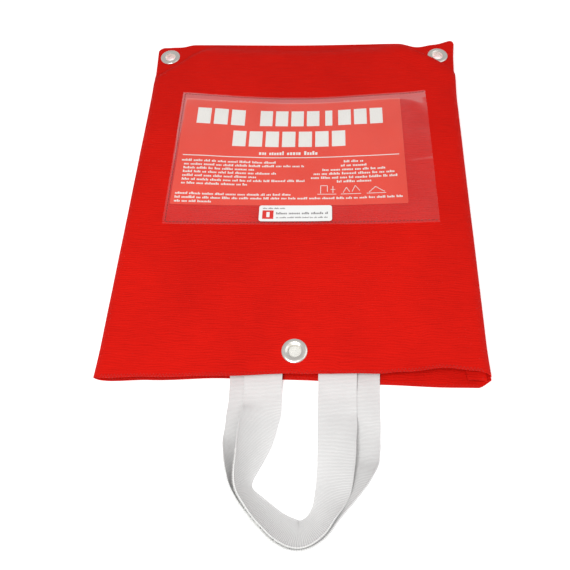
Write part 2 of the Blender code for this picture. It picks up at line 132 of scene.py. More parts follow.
def through(points: Sequence[tuple[float, float]], x: float) -> float:
    """A smooth curve through points, level at each of them.

    Args:
        points: (x, value) pairs in rising x.
        x: Where to read the curve.

    Returns:
        The curve's value, held level past both ends.
    """
    if x <= points[0][0]:
        return points[0][1]
    for (x0, v0), (x1, v1) in zip(points, points[1:]):
        if x <= x1:
            return v0 + (v1 - v0) * swell((x - x0) / (x1 - x0))
    return points[-1][1]


def spread(start: float, end: float, steps: int) -> list[float]:
    """Evenly spaced values from start to end, both included."""
    return [start + (end - start) * step / steps for step in range(steps + 1)]


def uneven(x: float, y: float, z: float, height: float) -> float:
    """Smooth irregular relief that is the same in every run."""
    return noise.noise(Vector((x, y, z))) * height


def mm(millimetres: float) -> float:
    """Millimetres in metres."""
    return millimetres * 0.001


@dataclass(frozen=True)
class Hump:
    """A smooth rise or, where its height is negative, a hollow."""

    height: float
    centre: float
    reach: float

    def at(self, place: float) -> float:
        """Its height at a place."""
        return self.height * bell(place - self.centre, self.reach)


@dataclass(frozen=True)
class Waves:
    """Smooth irregular waves: how many for each metre both ways, their start and height."""

    across: float
    along: float
    shift: float
    seed: float
    height: float

    def at(self, x: float, y: float) -> float:
        """Their height at a place."""
        return uneven(x * self.across + self.shift, y * self.along, self.seed, self.height)


# Mesh helpers

def deselect() -> None:
    """Leaves object mode with nothing selected."""
    if bpy.context.object is not None and bpy.context.object.mode != "OBJECT":
        bpy.ops.object.mode_set(mode="OBJECT")
    bpy.ops.object.select_all(action="DESELECT")


def only(piece: bpy.types.Object) -> bpy.types.Object:
    """Makes a piece the one selected and active object.

    Args:
        piece: The piece.

    Returns:
        The same piece.
    """
    deselect()
    piece.select_set(True)
    bpy.context.view_layer.objects.active = piece
    return piece


def object_from(name: str, form: bmesh.types.BMesh) -> bpy.types.Object:
    """Turns a finished bmesh into an object at the origin.

    Args:
        name: The object's name.
        form: The bmesh, which is freed.

    Returns:
        The new object.
    """
    mesh = bpy.data.meshes.new(name)
    form.to_mesh(mesh)
    form.free()
    made = bpy.data.objects.new(name, mesh)
    bpy.context.scene.collection.objects.link(made)
    return made


def settle(piece: bpy.types.Object) -> bpy.types.Object:
    """Applies a piece's place, turn and scale to its mesh.

    Args:
        piece: The piece.

    Returns:
        The same piece, its object at the origin.
    """
    only(piece)
    bpy.ops.object.transform_apply(location=True, rotation=True, scale=True)
    return piece


def thicken(piece: bpy.types.Object, thickness: float, offset: float) -> None:
    """Gives an open sheet its thickness.

    Args:
        piece: The sheet.
        thickness: In metres.
        offset: 1 puts it all on the side that the faces look to, -1 behind them, 0 on both.
    """
    only(piece)
    wall = piece.modifiers.new("thickness", "SOLIDIFY")
    wall.thickness = thickness
    wall.offset = offset
    wall.use_even_offset = False
    bpy.ops.object.modifier_apply(modifier=wall.name)


def smooth(piece: bpy.types.Object, degrees: float = 35.0) -> None:
    """Shades a piece smooth, with edges sharper than an angle kept."""
    only(piece)
    bpy.ops.object.shade_smooth_by_angle(angle=math.radians(degrees))


def woven_grid(name: str, across: Sequence[float], along: Sequence[float],
               place: Callable[[float, float], Vector]) -> bpy.types.Object:
    """A sheet of square meshes with a UV map in metres.

    Args:
        name: The piece's name.
        across: Parameters across the sheet.
        along: Parameters along the sheet.
        place: Gives a point's place.

    Returns:
        The open sheet.
    """
    form = bmesh.new()
    grid = [[form.verts.new(place(s, t)) for s in across] for t in along]
    layer = form.loops.layers.uv.new("cloth")
    for row, (low, high) in enumerate(zip(grid, grid[1:])):
        for column in range(len(across) - 1):
            corners = (low[column], low[column + 1], high[column + 1], high[column])
            face = form.faces.new(corners)
            steps = ((0, 0), (1, 0), (1, 1), (0, 1))
            for loop, (right, up) in zip(face.loops, steps):
                loop[layer].uv = (across[column + right], along[row + up])
    return object_from(name, form)


def tube(name: str, points: Sequence[Vector], radius: float) -> bpy.types.Object:
    """A thin round thread along points, as a mesh.

    Args:
        name: The piece's name.
        points: The thread's middle line.
        radius: In metres.

    Returns:
        The thread.
    """
    curve = bpy.data.curves.new(name, "CURVE")
    curve.dimensions = "3D"
    curve.bevel_depth = radius
    curve.bevel_resolution = 1
    curve.use_fill_caps = True
    spline = curve.splines.new("POLY")
    spline.points.add(len(points) - 1)
    for point, place in zip(spline.points, points):
        point.co = (*place, 1.0)
    made = bpy.data.objects.new(name, curve)
    bpy.context.scene.collection.objects.link(made)
    only(made)
    bpy.ops.object.convert(target="MESH")
    return bpy.context.object


def join(name: str, pieces: Sequence[bpy.types.Object]) -> bpy.types.Object:
    """Joins pieces into one object.

    Args:
        name: The joined piece's name.
        pieces: What is joined; the first one takes the others in.

    Returns:
        The joined piece.
    """
    deselect()
    for piece in pieces:
        piece.select_set(True)
    bpy.context.view_layer.objects.active = pieces[0]
    bpy.ops.object.join()
    made = bpy.context.object
    made.name = name
    return made


def stamp(name: str, model: bpy.types.Object,
          places: Iterable[Callable[[Vector], Vector]]) -> bpy.types.Object:
    """Copies one small model many times into one mesh, and removes the model.

    Args:
        name: The new piece's name.
        model: The small closed model around its own origin.
        places: For each copy, what turns a point of the model into its place.

    Returns:
        The joined copies.
    """
    points = [vertex.co.copy() for vertex in model.data.vertices]
    faces = [tuple(face.vertices) for face in model.data.polygons]
    form = bmesh.new()
    for place in places:
        made = [form.verts.new(place(point)) for point in points]
        for face in faces:
            form.faces.new([made[index] for index in face])
    bpy.data.objects.remove(model)
    return object_from(name, form)


def small_block(bevel: float = 0.0, cuts: int = 0) -> bpy.types.Object:
    """A cube of size 1 around the origin, with bevelled edges or cut faces if asked.

    Args:
        bevel: Width of the bevel on its edges, or 0.
        cuts: Cuts across each face, or 0.

    Returns:
        The block.
    """
    deselect()
    bpy.ops.mesh.primitive_cube_add(size=1.0)
    bpy.ops.object.mode_set(mode="EDIT")
    bpy.ops.mesh.select_all(action="SELECT")
    if bevel > 0:
        bpy.ops.mesh.bevel(offset=bevel, segments=1, affect="EDGES")
    if cuts > 0:
        bpy.ops.mesh.subdivide(number_cuts=cuts)
    bpy.ops.object.mode_set(mode="OBJECT")
    return bpy.context.object


@dataclass(frozen=True)
class CutSheet:
    """A flat rectangle with rounded corners, cut across both ways so that it can bend."""

    name: str
    corner: float
    corner_steps: int
    cuts: tuple[int, int]
    thickness: float

    def flat(self, low: Vector, high: Vector) -> bpy.types.Object:
        """Makes the sheet between two opposite corners of its box.

        Args:
            low: The box's lowest corner.
            high: The box's highest corner.

        Returns:
            The open sheet, at the middle of the box's height.
        """
        deselect()
        bpy.ops.mesh.primitive_plane_add(size=1.0, location=((low + high) / 2).to_tuple())
        made = bpy.context.object
        made.name = self.name
        made.scale = (high.x - low.x, high.y - low.y, 1.0)
        settle(made)
        bpy.ops.object.mode_set(mode="EDIT")
        bpy.ops.mesh.select_all(action="SELECT")
        bpy.ops.mesh.bevel(offset=self.corner, segments=self.corner_steps, affect="VERTICES")
        for axis, normal in enumerate(((1, 0, 0), (0, 1, 0))):
            for place in spread(low[axis], high[axis], self.cuts[axis])[1:-1]:
                bpy.ops.mesh.select_all(action="SELECT")
                bpy.ops.mesh.bisect(plane_co=[place * part for part in normal],
                                    plane_no=normal)
        bpy.ops.object.mode_set(mode="OBJECT")
        return made


# Materials

@dataclass
class Graph:
    """A node tree with short ways to add nodes and to join them."""

    tree: bpy.types.NodeTree

    def add(self, kind: str, **settings: object) -> bpy.types.Node:
        """Adds a node and sets its properties.

        Args:
            kind: The node's type.
            settings: Its properties.

        Returns:
            The node.
        """
        node = self.tree.nodes.new(kind)
        for key, value in settings.items():
            setattr(node, key, value)
        return node

    def put(self, value: object, socket: bpy.types.NodeSocket) -> None:
        """Joins an output to an input, or sets the input's own value.

        Args:
            value: An output, or a plain value.
            socket: The input.
        """
        if isinstance(value, bpy.types.NodeSocket):
            self.tree.links.new(value, socket)
        else:
            socket.default_value = value

    def math(self, operation: str, *values: object, limit: bool = False) -> bpy.types.NodeSocket:
        """One arithmetic step on numbers or outputs.

        Args:
            operation: The Math node's operation.
            values: Its operands, numbers or outputs.
            limit: Whether the result is held to 0 to 1.

        Returns:
            The result.
        """
        node = self.add("ShaderNodeMath", operation=operation, use_clamp=limit)
        for value, socket in zip(values, node.inputs):
            self.put(value, socket)
        return node.outputs[0]

    def noise(self, vector: object, scale: float, detail: float = 2.0,
              rough: float = 0.5) -> bpy.types.NodeSocket:
        """Cloudy noise from 0 to 1.

        Args:
            vector: Coordinates.
            scale: Clouds per metre.
            detail: Octaves.
            rough: Weight of the finer octaves.

        Returns:
            The noise.
        """
        node = self.add("ShaderNodeTexNoise")
        self.put(vector, node.inputs["Vector"])
        node.inputs["Scale"].default_value = scale
        node.inputs["Detail"].default_value = detail
        node.inputs["Roughness"].default_value = rough
        return node.outputs["Fac"]

    def stretch(self, vector: object, scale: tuple[float, float, float]) -> bpy.types.NodeSocket:
        """Scales a vector along its axes.

        Args:
            vector: Coordinates.
            scale: Factor along each axis.

        Returns:
            The scaled vector.
        """
        node = self.add("ShaderNodeMapping")
        self.put(vector, node.inputs["Vector"])
        node.inputs["Scale"].default_value = scale
        return node.outputs[0]

    def ramp(self, value: object, low: float, high: float, dark: float,
             light: float) -> bpy.types.NodeSocket:
        """Maps a value from low..high to dark..light, held at the ends.

        Args:
            value: What is mapped.
            low: Value that gives dark.
            high: Value that gives light.
            dark: Result at low.
            light: Result at high.

        Returns:
            The mapped value.
        """
        node = self.add("ShaderNodeMapRange")
        for key, entry in zip(("Value", "From Min", "From Max", "To Min", "To Max"),
                              (value, low, high, dark, light)):
            self.put(entry, node.inputs[key])
        return node.outputs[0]

    def mix(self, share: object, first: object, second: object) -> bpy.types.NodeSocket:
        """Mixes two colours.

        Args:
            share: 0 for the first colour, 1 for the second.
            first: A colour.
            second: Another colour.

        Returns:
            The mixed colour.
        """
        node = self.add("ShaderNodeMix", data_type="RGBA")
        self.put(share, node.inputs[0])
        self.put(first, node.inputs[6])
        self.put(second, node.inputs[7])
        return node.outputs[2]


def new_group(name: str, inputs: dict[str, object],
              outputs: dict[str, str]) -> tuple[Graph, bpy.types.Node, bpy.types.Node]:
    """Starts a shader node group.

    Args:
        name: The group's name.
        inputs: Input names, each with a default number, or None for a vector.
        outputs: Output names with their socket types.

    Returns:
        The group's graph, its input node and its output node.
    """
    tree = bpy.data.node_groups.new(name, "ShaderNodeTree")
    for key, value in inputs.items():
        kind = "NodeSocketVector" if value is None else "NodeSocketFloat"
        socket = tree.interface.new_socket(key, in_out="INPUT", socket_type=kind)
        if value is not None:
            socket.default_value = value
    for key, kind in outputs.items():
        tree.interface.new_socket(key, in_out="OUTPUT", socket_type=kind)
    graph = Graph(tree)
    return graph, graph.add("NodeGroupInput"), graph.add("NodeGroupOutput")


def weave_group() -> bpy.types.NodeTree:
    """Plain woven cloth: yarns that cross, some thicker than others, and a tone for each yarn:
    lighter on slubs, and lighter on the raised yarns than in the hollows between them as painted
    shade.

    Returns:
        The group.
    """
    graph, given, made = new_group(
        "Weave", {"Vector": None, "Across": 1000.0, "Along": 1000.0, "Slub": 0.5},
        {"Height": "NodeSocketFloat", "Shade": "NodeSocketFloat"})
    split = graph.add("ShaderNodeSeparateXYZ")
    wobble = graph.noise(given.outputs["Vector"], 45.0)
    graph.put(given.outputs["Vector"], split.inputs[0])
    waves = []
    for axis, key, drift in ((0, "Across", 2.5), (1, "Along", 4.0)):
        turns = graph.math("MULTIPLY", split.outputs[axis], given.outputs[key])
        turns = graph.math("MULTIPLY_ADD", wobble, drift, turns)
        wave = graph.math("SINE", graph.math("MULTIPLY", turns, math.pi))
        waves.append(graph.math("ABSOLUTE", wave))
    over = graph.math("MAXIMUM", graph.math("MULTIPLY", waves[0], 0.75), waves[1])
    streaks = graph.stretch(given.outputs["Vector"], (55.0, 900.0, 55.0))
    slubs = graph.noise(streaks, 1.0)
    thick = graph.math("MULTIPLY", graph.math("SUBTRACT", slubs, 0.5), given.outputs["Slub"])
    graph.put(graph.math("ADD", over, graph.math("MULTIPLY", thick, 2.0)), made.inputs["Height"])
    # Painted shade: the tone is lighter where the crossing yarns stand high; the slub part is the
    # yarns' own tone.
    shade = graph.math("MULTIPLY_ADD", thick, 1.2, graph.ramp(over, 0.2, 1.0, 0.35, 0.55))
    graph.put(graph.math("ADD", shade, 0.0, limit=True), made.inputs["Shade"])
    return graph.tree


def cloud_group(name: str, output: str, scale: float, detail: float, rough: float,
                contrast: float | None) -> bpy.types.NodeTree:
    """Noise from 0 to 1, spread round one half by a Contrast input if it has one.

    Args:
        name: The group's name.
        output: Its output's name.
        scale: Default of its Scale input.
        detail: Octaves.
        rough: Weight of the finer octaves.
        contrast: Default of its Contrast input, or None for no such input.

    Returns:
        The group.
    """
    inputs = {"Vector": None, "Scale": scale}
    if contrast is not None:
        inputs["Contrast"] = contrast
    graph, given, made = new_group(name, inputs, {output: "NodeSocketFloat"})
    found = graph.noise(given.outputs["Vector"], scale, detail, rough)
    graph.put(given.outputs["Scale"], found.node.inputs["Scale"])
    if contrast is not None:
        from_middle = graph.math("MULTIPLY", graph.math("SUBTRACT", found, 0.5),
                                 given.outputs["Contrast"])
        found = graph.math("MULTIPLY_ADD", from_middle, 2.0, 0.5, limit=True)
    graph.put(found, made.inputs[output])
    return graph.tree


@dataclass
class Shared:
    """The node groups that the materials share: yarns, slow uneven colour, and fine grain."""

    weave: bpy.types.NodeTree
    mottle: bpy.types.NodeTree
    fuzz: bpy.types.NodeTree


SHARED = Shared(weave=weave_group(),
                mottle=cloud_group("Mottle", "Mask", 14.0, 3.0, 0.5, contrast=1.0),
                fuzz=cloud_group("Fuzz", "Grain", 900.0, 4.0, 0.65, contrast=None))
Colour = tuple[float, float, float]


@dataclass
class Paint:
    """A material being built: its graph, its shader and its coordinates."""

    name: str
    on_uv: bool = False

    def __post_init__(self) -> None:
        """Makes the material with an untouched Principled shader."""
        self.material = bpy.data.materials.new(self.name)
        self.material.use_nodes = True
        self.graph = Graph(self.material.node_tree)
        self.shader = self.material.node_tree.nodes["Principled BSDF"]
        coordinates = self.graph.add("ShaderNodeTexCoord")
        self.vector = coordinates.outputs["UV" if self.on_uv else "Object"]
        self.place = coordinates.outputs["Object"]

    def group(self, tree: bpy.types.NodeTree, vector: object = None,
              **values: float) -> bpy.types.Node:
        """Places a shared group with its own values.

        Args:
            tree: The shared group.
            vector: Its coordinates, or None for the material's own.
            values: Its other inputs.

        Returns:
            The placed node.
        """
        node = self.graph.add("ShaderNodeGroup", node_tree=tree)
        self.graph.put(self.vector if vector is None else vector, node.inputs["Vector"])
        for key, value in values.items():
            node.inputs[key].default_value = value
        return node

    def set(self, **values: object) -> None:
        """Sets the shader's own sockets, with _ for a space in their names."""
        for key, value in values.items():
            self.graph.put(value, self.shader.inputs[key.replace("_", " ")])

    def bump(self, height: object, strength: float, distance: float) -> None:
        """Feeds a height to the shader's normal.

        Args:
            height: The relief.
            strength: From 0 to 1.
            distance: The relief's depth in metres.
        """
        node = self.graph.add("ShaderNodeBump")
        node.inputs["Strength"].default_value = strength
        node.inputs["Distance"].default_value = distance
        self.graph.put(height, node.inputs["Height"])
        self.graph.put(node.outputs[0], self.shader.inputs["Normal"])


@dataclass(frozen=True)
class WovenFinish:
    """Woven cloth in yarns of one colour."""

    name: str
    dark: Colour
    light: Colour
    yarns_across: float
    yarns_along: float
    slub: float
    relief: float
    roughness: float = 0.85
    sheen: float = 0.15
    mottle: float = 0.5
    on_uv: bool = False

    def build(self) -> bpy.types.Material:
        """Makes the material.

        Returns:
            The material.
        """
        paint = Paint(self.name, self.on_uv)
        graph = paint.graph
        weave = paint.group(SHARED.weave, Across=self.yarns_across, Along=self.yarns_along,
                            Slub=self.slub)
        cloud = paint.group(SHARED.mottle, paint.place, Scale=16.0, Contrast=self.mottle)
        fuzz = paint.group(SHARED.fuzz, paint.place, Scale=1400.0)
        # The weave's Shade output carries painted shade between the yarns, besides the slubs' own
        # tone.
        shade = graph.math("MULTIPLY_ADD", cloud.outputs[0], 0.55,
                           graph.math("MULTIPLY", weave.outputs["Shade"], 0.5), limit=True)
        paint.set(Base_Color=graph.mix(shade, (*self.dark, 1), (*self.light, 1)),
                  Roughness=graph.ramp(fuzz.outputs[0], 0.3, 0.7, self.roughness - 0.06,
                                       self.roughness + 0.06),
                  Sheen_Weight=self.sheen, Sheen_Roughness=0.5, Specular_IOR_Level=0.12)
        paint.shader.inputs["Sheen Tint"].default_value = (*self.light, 1)
        height = graph.math("MULTIPLY_ADD", fuzz.outputs[0], 0.5, weave.outputs["Height"])
        paint.bump(height, 0.8, self.relief)
        return paint.material


@dataclass(frozen=True)
class RibbedFinish:
    """Flat webbing: ribs across the tape, a selvedge along both edges, and loose fibre; the
    grooves between the ribs are painted darker, as painted shade.
    """

    name: str
    colour: Colour
    # Colour of the hollows between the ribs: painted shade.
    groove_shade: Colour
    rib_pitch: float = 0.00105
    yarn_pitch: float = 0.0009
    half_width: float = 0.015
    selvedge: tuple[float, float] = (0.0018, 0.0006)
    relief: float = 0.00022

    def build(self) -> bpy.types.Material:
        """Makes the material.

        Returns:
            The material.
        """
        paint = Paint(self.name, on_uv=True)
        graph = paint.graph
        split = graph.add("ShaderNodeSeparateXYZ")
        graph.put(paint.vector, split.inputs[0])
        wobble = graph.noise(graph.stretch(paint.vector, (160.0, 160.0, 1.0)), 1.0, 3.0)
        turns = graph.math("MULTIPLY_ADD", wobble, 0.9,
                           graph.math("DIVIDE", split.outputs[1], self.rib_pitch))
        rib = graph.math("ABSOLUTE", graph.math("SINE", graph.math("MULTIPLY", turns, math.pi)))
        ends = graph.math("MULTIPLY", split.outputs[0], math.pi / self.yarn_pitch)
        yarns = graph.math("ABSOLUTE", graph.math("SINE", ends))
        edge = graph.ramp(graph.math("ABSOLUTE", split.outputs[0]),
                          self.half_width - self.selvedge[0],
                          self.half_width - self.selvedge[1], 0.0, 1.0)
        fuzz = paint.group(SHARED.fuzz, Scale=1500.0)
        cloud = paint.group(SHARED.mottle, paint.place, Scale=40.0, Contrast=0.7)
        # Painted shade: the colour runs from the groove colour in the hollows between the ribs to
        # the plain colour on their crests.
        tone = graph.math("MULTIPLY_ADD", cloud.outputs[0], 0.3,
                          graph.math("MULTIPLY", rib, 0.7), limit=True)
        paint.set(Base_Color=graph.mix(tone, (*self.groove_shade, 1), (*self.colour, 1)),
                  Roughness=graph.ramp(fuzz.outputs[0], 0.3, 0.7, 0.72, 0.88),
                  Sheen_Weight=0.2, Sheen_Roughness=0.4, Specular_IOR_Level=0.3)
        height = graph.math("MULTIPLY_ADD", yarns, 0.22, rib)
        height = graph.math("MULTIPLY_ADD", edge, 0.8, height)
        paint.bump(graph.math("MULTIPLY_ADD", fuzz.outputs[0], 0.35, height), 0.75, self.relief)
        return paint.material


@dataclass(frozen=True)
class ThreadFinish:
    """Twisted sewing thread, lighter on the twist's crests and darker in its grooves as painted
    shade.
    """

    name: str
    dark: Colour
    light: Colour
    twists: float = 700.0

    def build(self) -> bpy.types.Material:
        """Makes the material.

        Returns:
            The material.
        """
        paint = Paint(self.name)
        graph = paint.graph
        twist = graph.add("ShaderNodeTexWave", bands_direction="DIAGONAL")
        graph.put(paint.vector, twist.inputs["Vector"])
        twist.inputs["Scale"].default_value = self.twists
        twist.inputs["Distortion"].default_value = 1.5
        fuzz = paint.group(SHARED.fuzz, Scale=2500.0)
        # Painted shade: lighter where the twist's relief is high, darker in its grooves; the
        # grain mixed in is the thread's own.
        shade = graph.math("MULTIPLY_ADD", fuzz.outputs[0], 0.4,
                           graph.math("MULTIPLY", twist.outputs["Fac"], 0.6))
        paint.set(Base_Color=graph.mix(shade, (*self.dark, 1), (*self.light, 1)),
                  Roughness=0.7, Sheen_Weight=0.2)
        paint.bump(twist.outputs["Fac"], 0.6, 0.00008)
        return paint.material


@dataclass(frozen=True)
class MetalFinish:
    """Nickel plate with fine scuffs and a dull film in places."""

    name: str
    bright: Colour
    dull: Colour

    def build(self) -> bpy.types.Material:
        """Makes the material.

        Returns:
            The material.
        """
        paint = Paint(self.name)
        graph = paint.graph
        cloud = paint.group(SHARED.mottle, Scale=220.0, Contrast=1.0)
        fuzz = paint.group(SHARED.fuzz, Scale=2600.0)
        paint.set(Base_Color=graph.mix(cloud.outputs[0], (*self.dull, 1), (*self.bright, 1)),
                  Metallic=0.86,
                  Roughness=graph.ramp(cloud.outputs[0], 0.2, 0.8, 0.34, 0.20))
        paint.bump(fuzz.outputs[0], 0.25, 0.00004)
        return paint.material


@dataclass(frozen=True)
class FilmFinish:
    """Thin clear plastic film: a faint milky haze, small creases, and a painted reflection that
    makes its white base show more towards grazing angles.
    """

    name: str
    haze: float = 0.012
    # Strength of the painted reflection: white that rises with a Fresnel term.
    painted_reflection: float = 0.18
    painted_reflection_ior: float = 1.35

    def build(self) -> bpy.types.Material:
        """Makes the material.

        Returns:
            The material.
        """
        paint = Paint(self.name)
        graph = paint.graph
        creases = graph.noise(graph.stretch(paint.vector, (38.0, 70.0, 38.0)), 1.0, 5.0, 0.6)
        cloud = paint.group(SHARED.mottle, Scale=28.0, Contrast=1.0)
        # Painted reflection: the alpha, and with it the white base colour, rises with a Fresnel
        # term towards grazing angles.
        fresnel = graph.add("ShaderNodeFresnel")
        fresnel.inputs["IOR"].default_value = self.painted_reflection_ior
        painted_reflection = graph.math("MULTIPLY", fresnel.outputs[0], self.painted_reflection)
        haze = graph.ramp(cloud.outputs[0], 0.0, 1.0, self.haze * 0.75, self.haze * 1.35)
        paint.set(Base_Color=(0.86, 0.86, 0.86, 1), Roughness=0.22, IOR=1.5,
                  Alpha=graph.math("ADD", haze, painted_reflection, limit=True))
        paint.bump(creases, 0.35, 0.0008)
        return paint.material


@dataclass(frozen=True)
class PaperFinish:
    """Coated paper or card with a faint tooth."""

    name: str
    dark: Colour
    light: Colour
    roughness: float = 0.55

    def build(self) -> bpy.types.Material:
        """Makes the material.

        Returns:
            The material.
        """
        paint = Paint(self.name)
        graph = paint.graph
        cloud = paint.group(SHARED.mottle, Scale=30.0, Contrast=0.8)
        fuzz = paint.group(SHARED.fuzz, Scale=1200.0)
        shade = graph.math("MULTIPLY_ADD", fuzz.outputs[0], 0.4,
                           graph.math("MULTIPLY", cloud.outputs[0], 0.6))
        paint.set(Base_Color=graph.mix(shade, (*self.dark, 1), (*self.light, 1)),
                  Roughness=self.roughness)
        paint.bump(fuzz.outputs[0], 0.3, 0.00005)
        return paint.material


# The weave in these cloths paints shade between the yarns, besides slub tone and random mottle.
RED_COTTON = WovenFinish("red cotton", (0.440, 0.0026, 0.0008), (0.800, 0.0086, 0.0026),
                         900.0, 480.0, 0.80, 0.00040, sheen=0.03)
GLASS_CLOTH = WovenFinish("glass cloth", (0.62, 0.61, 0.57), (0.84, 0.83, 0.79), 620.0, 620.0,
                          0.35, 0.00025, roughness=0.6, sheen=0.3, on_uv=True)
# The second colour is painted shade for the grooves between the ribs.
WEBBING = RibbedFinish("white webbing", (0.80, 0.795, 0.785), (0.52, 0.515, 0.515))
# Each thread's two colours span painted shade along its twist, besides fibre grain.
RED_THREAD = ThreadFinish("red thread", (0.34, 0.008, 0.005), (0.58, 0.020, 0.012))
SEAM_THREAD = ThreadFinish("pocket thread", (0.20, 0.008, 0.006), (0.36, 0.030, 0.024))
WHITE_THREAD = ThreadFinish("white thread", (0.62, 0.62, 0.60), (0.84, 0.84, 0.82))
NICKEL = MetalFinish("nickel plate", (0.94, 0.91, 0.86), (0.82, 0.78, 0.72))
# Its white rises towards grazing angles as a painted reflection.
CLEAR_FILM = FilmFinish("clear film")
RED_CARD = PaperFinish("red card", (0.700, 0.036, 0.014), (0.820, 0.056, 0.024))
PRINT_WHITE = PaperFinish("white print", (0.74, 0.72, 0.68), (0.84, 0.82, 0.79), 0.5)
STICKER_PAPER = PaperFinish("sticker paper", (0.80, 0.80, 0.78), (0.88, 0.88, 0.87), 0.4)
INK_RED = PaperFinish("red ink", (0.62, 0.022, 0.016), (0.74, 0.035, 0.024), 0.5)
INK_GREY = PaperFinish("grey ink", (0.13, 0.12, 0.13), (0.26, 0.24, 0.25), 0.5)


@dataclass
class Wardrobe:
    """Builds each finish once."""

    def __post_init__(self) -> None:
        """Starts with no material built."""
        self.built: dict[str, bpy.types.Material] = {}

    def __call__(self, finish: object) -> bpy.types.Material:
        """The finish's material.

        Args:
            finish: A finish.

        Returns:
            Its material, built when it is first asked for.
        """
        if finish.name not in self.built:
            self.built[finish.name] = finish.build()
        return self.built[finish.name]

    def dress(self, piece: bpy.types.Object, *finishes: object) -> None:
        """Puts finishes in a piece's material slots, in order.

        Args:
            piece: A piece or a CAD node.
            finishes: One for each slot.
        """
        piece.data.materials.clear()
        for finish in finishes:
            piece.data.materials.append(self(finish))


WARDROBE = Wardrobe()


def finished(piece: bpy.types.Object, finish: object, body: Body, slot: Slot,
             *stands_for: str) -> bpy.types.Object:
    """Dresses a piece, lets it ride on its body and hides the CAD nodes that it stands for.

    Args:
        piece: The piece.
        finish: Its finish.
        body: The body that it rides on.
        slot: Not used.
        stands_for: The CAD nodes that it replaces.

    Returns:
        The same piece.
    """
    WARDROBE.dress(piece, finish)
    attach(piece, body.value)
    if stands_for:
        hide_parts(*stands_for)
    LOG.info("%s: %d faces", piece.name, len(piece.data.polygons))
    return piece


# Pouch

@dataclass
class Eyelet:
    """A turned nickel eyelet with a rolled flange, standing in a panel."""

    node: str
    bore: float = 0.0054
    wall: float = 0.0005
    flange: float = 0.0011
    throat: float = 0.0003
    lip: float = 0.0009
    lip_rise: float = 0.0005
    hole: float = 0.0078
    steps: int = 72

    def __post_init__(self) -> None:
        """Reads the eyelet's place and size from its CAD node."""
        low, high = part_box(self.node)
        self.x, self.y = (low.x + high.x) / 2, (low.y + high.y) / 2
        self.low, self.high = low.z, high.z
        self.radius = (high.x - low.x) / 2

    def profile(self) -> list[tuple[float, float]]:
        """(radius, height) points of the closed section, outside first.

        Returns:
            The section's points, in order round it.
        """
        barrel = self.bore + self.wall
        seat = self.high - self.flange
        middle, half = (barrel + self.radius) / 2, (self.radius - barrel) / 2
        dome = [(middle + half * math.cos(turn), seat + self.flange * math.sin(turn) ** 0.8)
                for turn in spread(0.0, math.pi * 0.86, 12)]
        funnel = [(self.bore + self.throat * math.cos(turn),
                   seat + 0.0001 + self.throat * math.sin(turn))
                  for turn in spread(math.pi / 2, 0.0, 3)]
        tail = [(self.bore, self.low + 0.0006)]
        lip = [(self.bore + self.lip + self.lip * math.cos(turn),
                self.low + self.lip_rise + self.lip_rise * math.sin(turn))
               for turn in spread(math.pi, 2 * math.pi, 6)]
        back = [(barrel, self.low + 0.0008), (barrel, seat)]
        return dome + funnel + tail + lip + back + [(self.radius - 0.0002, seat)]

    def build(self) -> bpy.types.Object:
        """Spins the section round the eyelet's axis.

        Returns:
            The eyelet, in place of its CAD node.
        """
        section = self.profile()
        deselect()
        bpy.ops.mesh.primitive_circle_add(vertices=len(section), fill_type="NOTHING")
        made = bpy.context.object
        made.name = self.node + "_turned"
        for vertex, (radius, height) in zip(made.data.vertices, section):
            vertex.co = (radius, 0.0, height)
        bpy.ops.object.mode_set(mode="EDIT")
        bpy.ops.mesh.select_all(action="SELECT")
        bpy.ops.mesh.spin(steps=self.steps, angle=2 * math.pi, center=(0, 0, 0), axis=(0, 0, 1))
        bpy.ops.mesh.select_all(action="SELECT")
        bpy.ops.mesh.remove_doubles(threshold=0.00001)
        bpy.ops.mesh.normals_make_consistent(inside=False)
        bpy.ops.object.mode_set(mode="OBJECT")
        made.location = (self.x, self.y, 0.0)
        settle(made)
        smooth(made, degrees=50.0)
        return finished(made, NICKEL, Body.POUCH, Slot.NICKEL, self.node)


class Layer(Enum):
    """The pouch's two layers of cloth."""

    FRONT = 1
    BACK = -1

    @property
    def word(self) -> str:
        """Its name as piece names have it."""
        return self.name.lower()


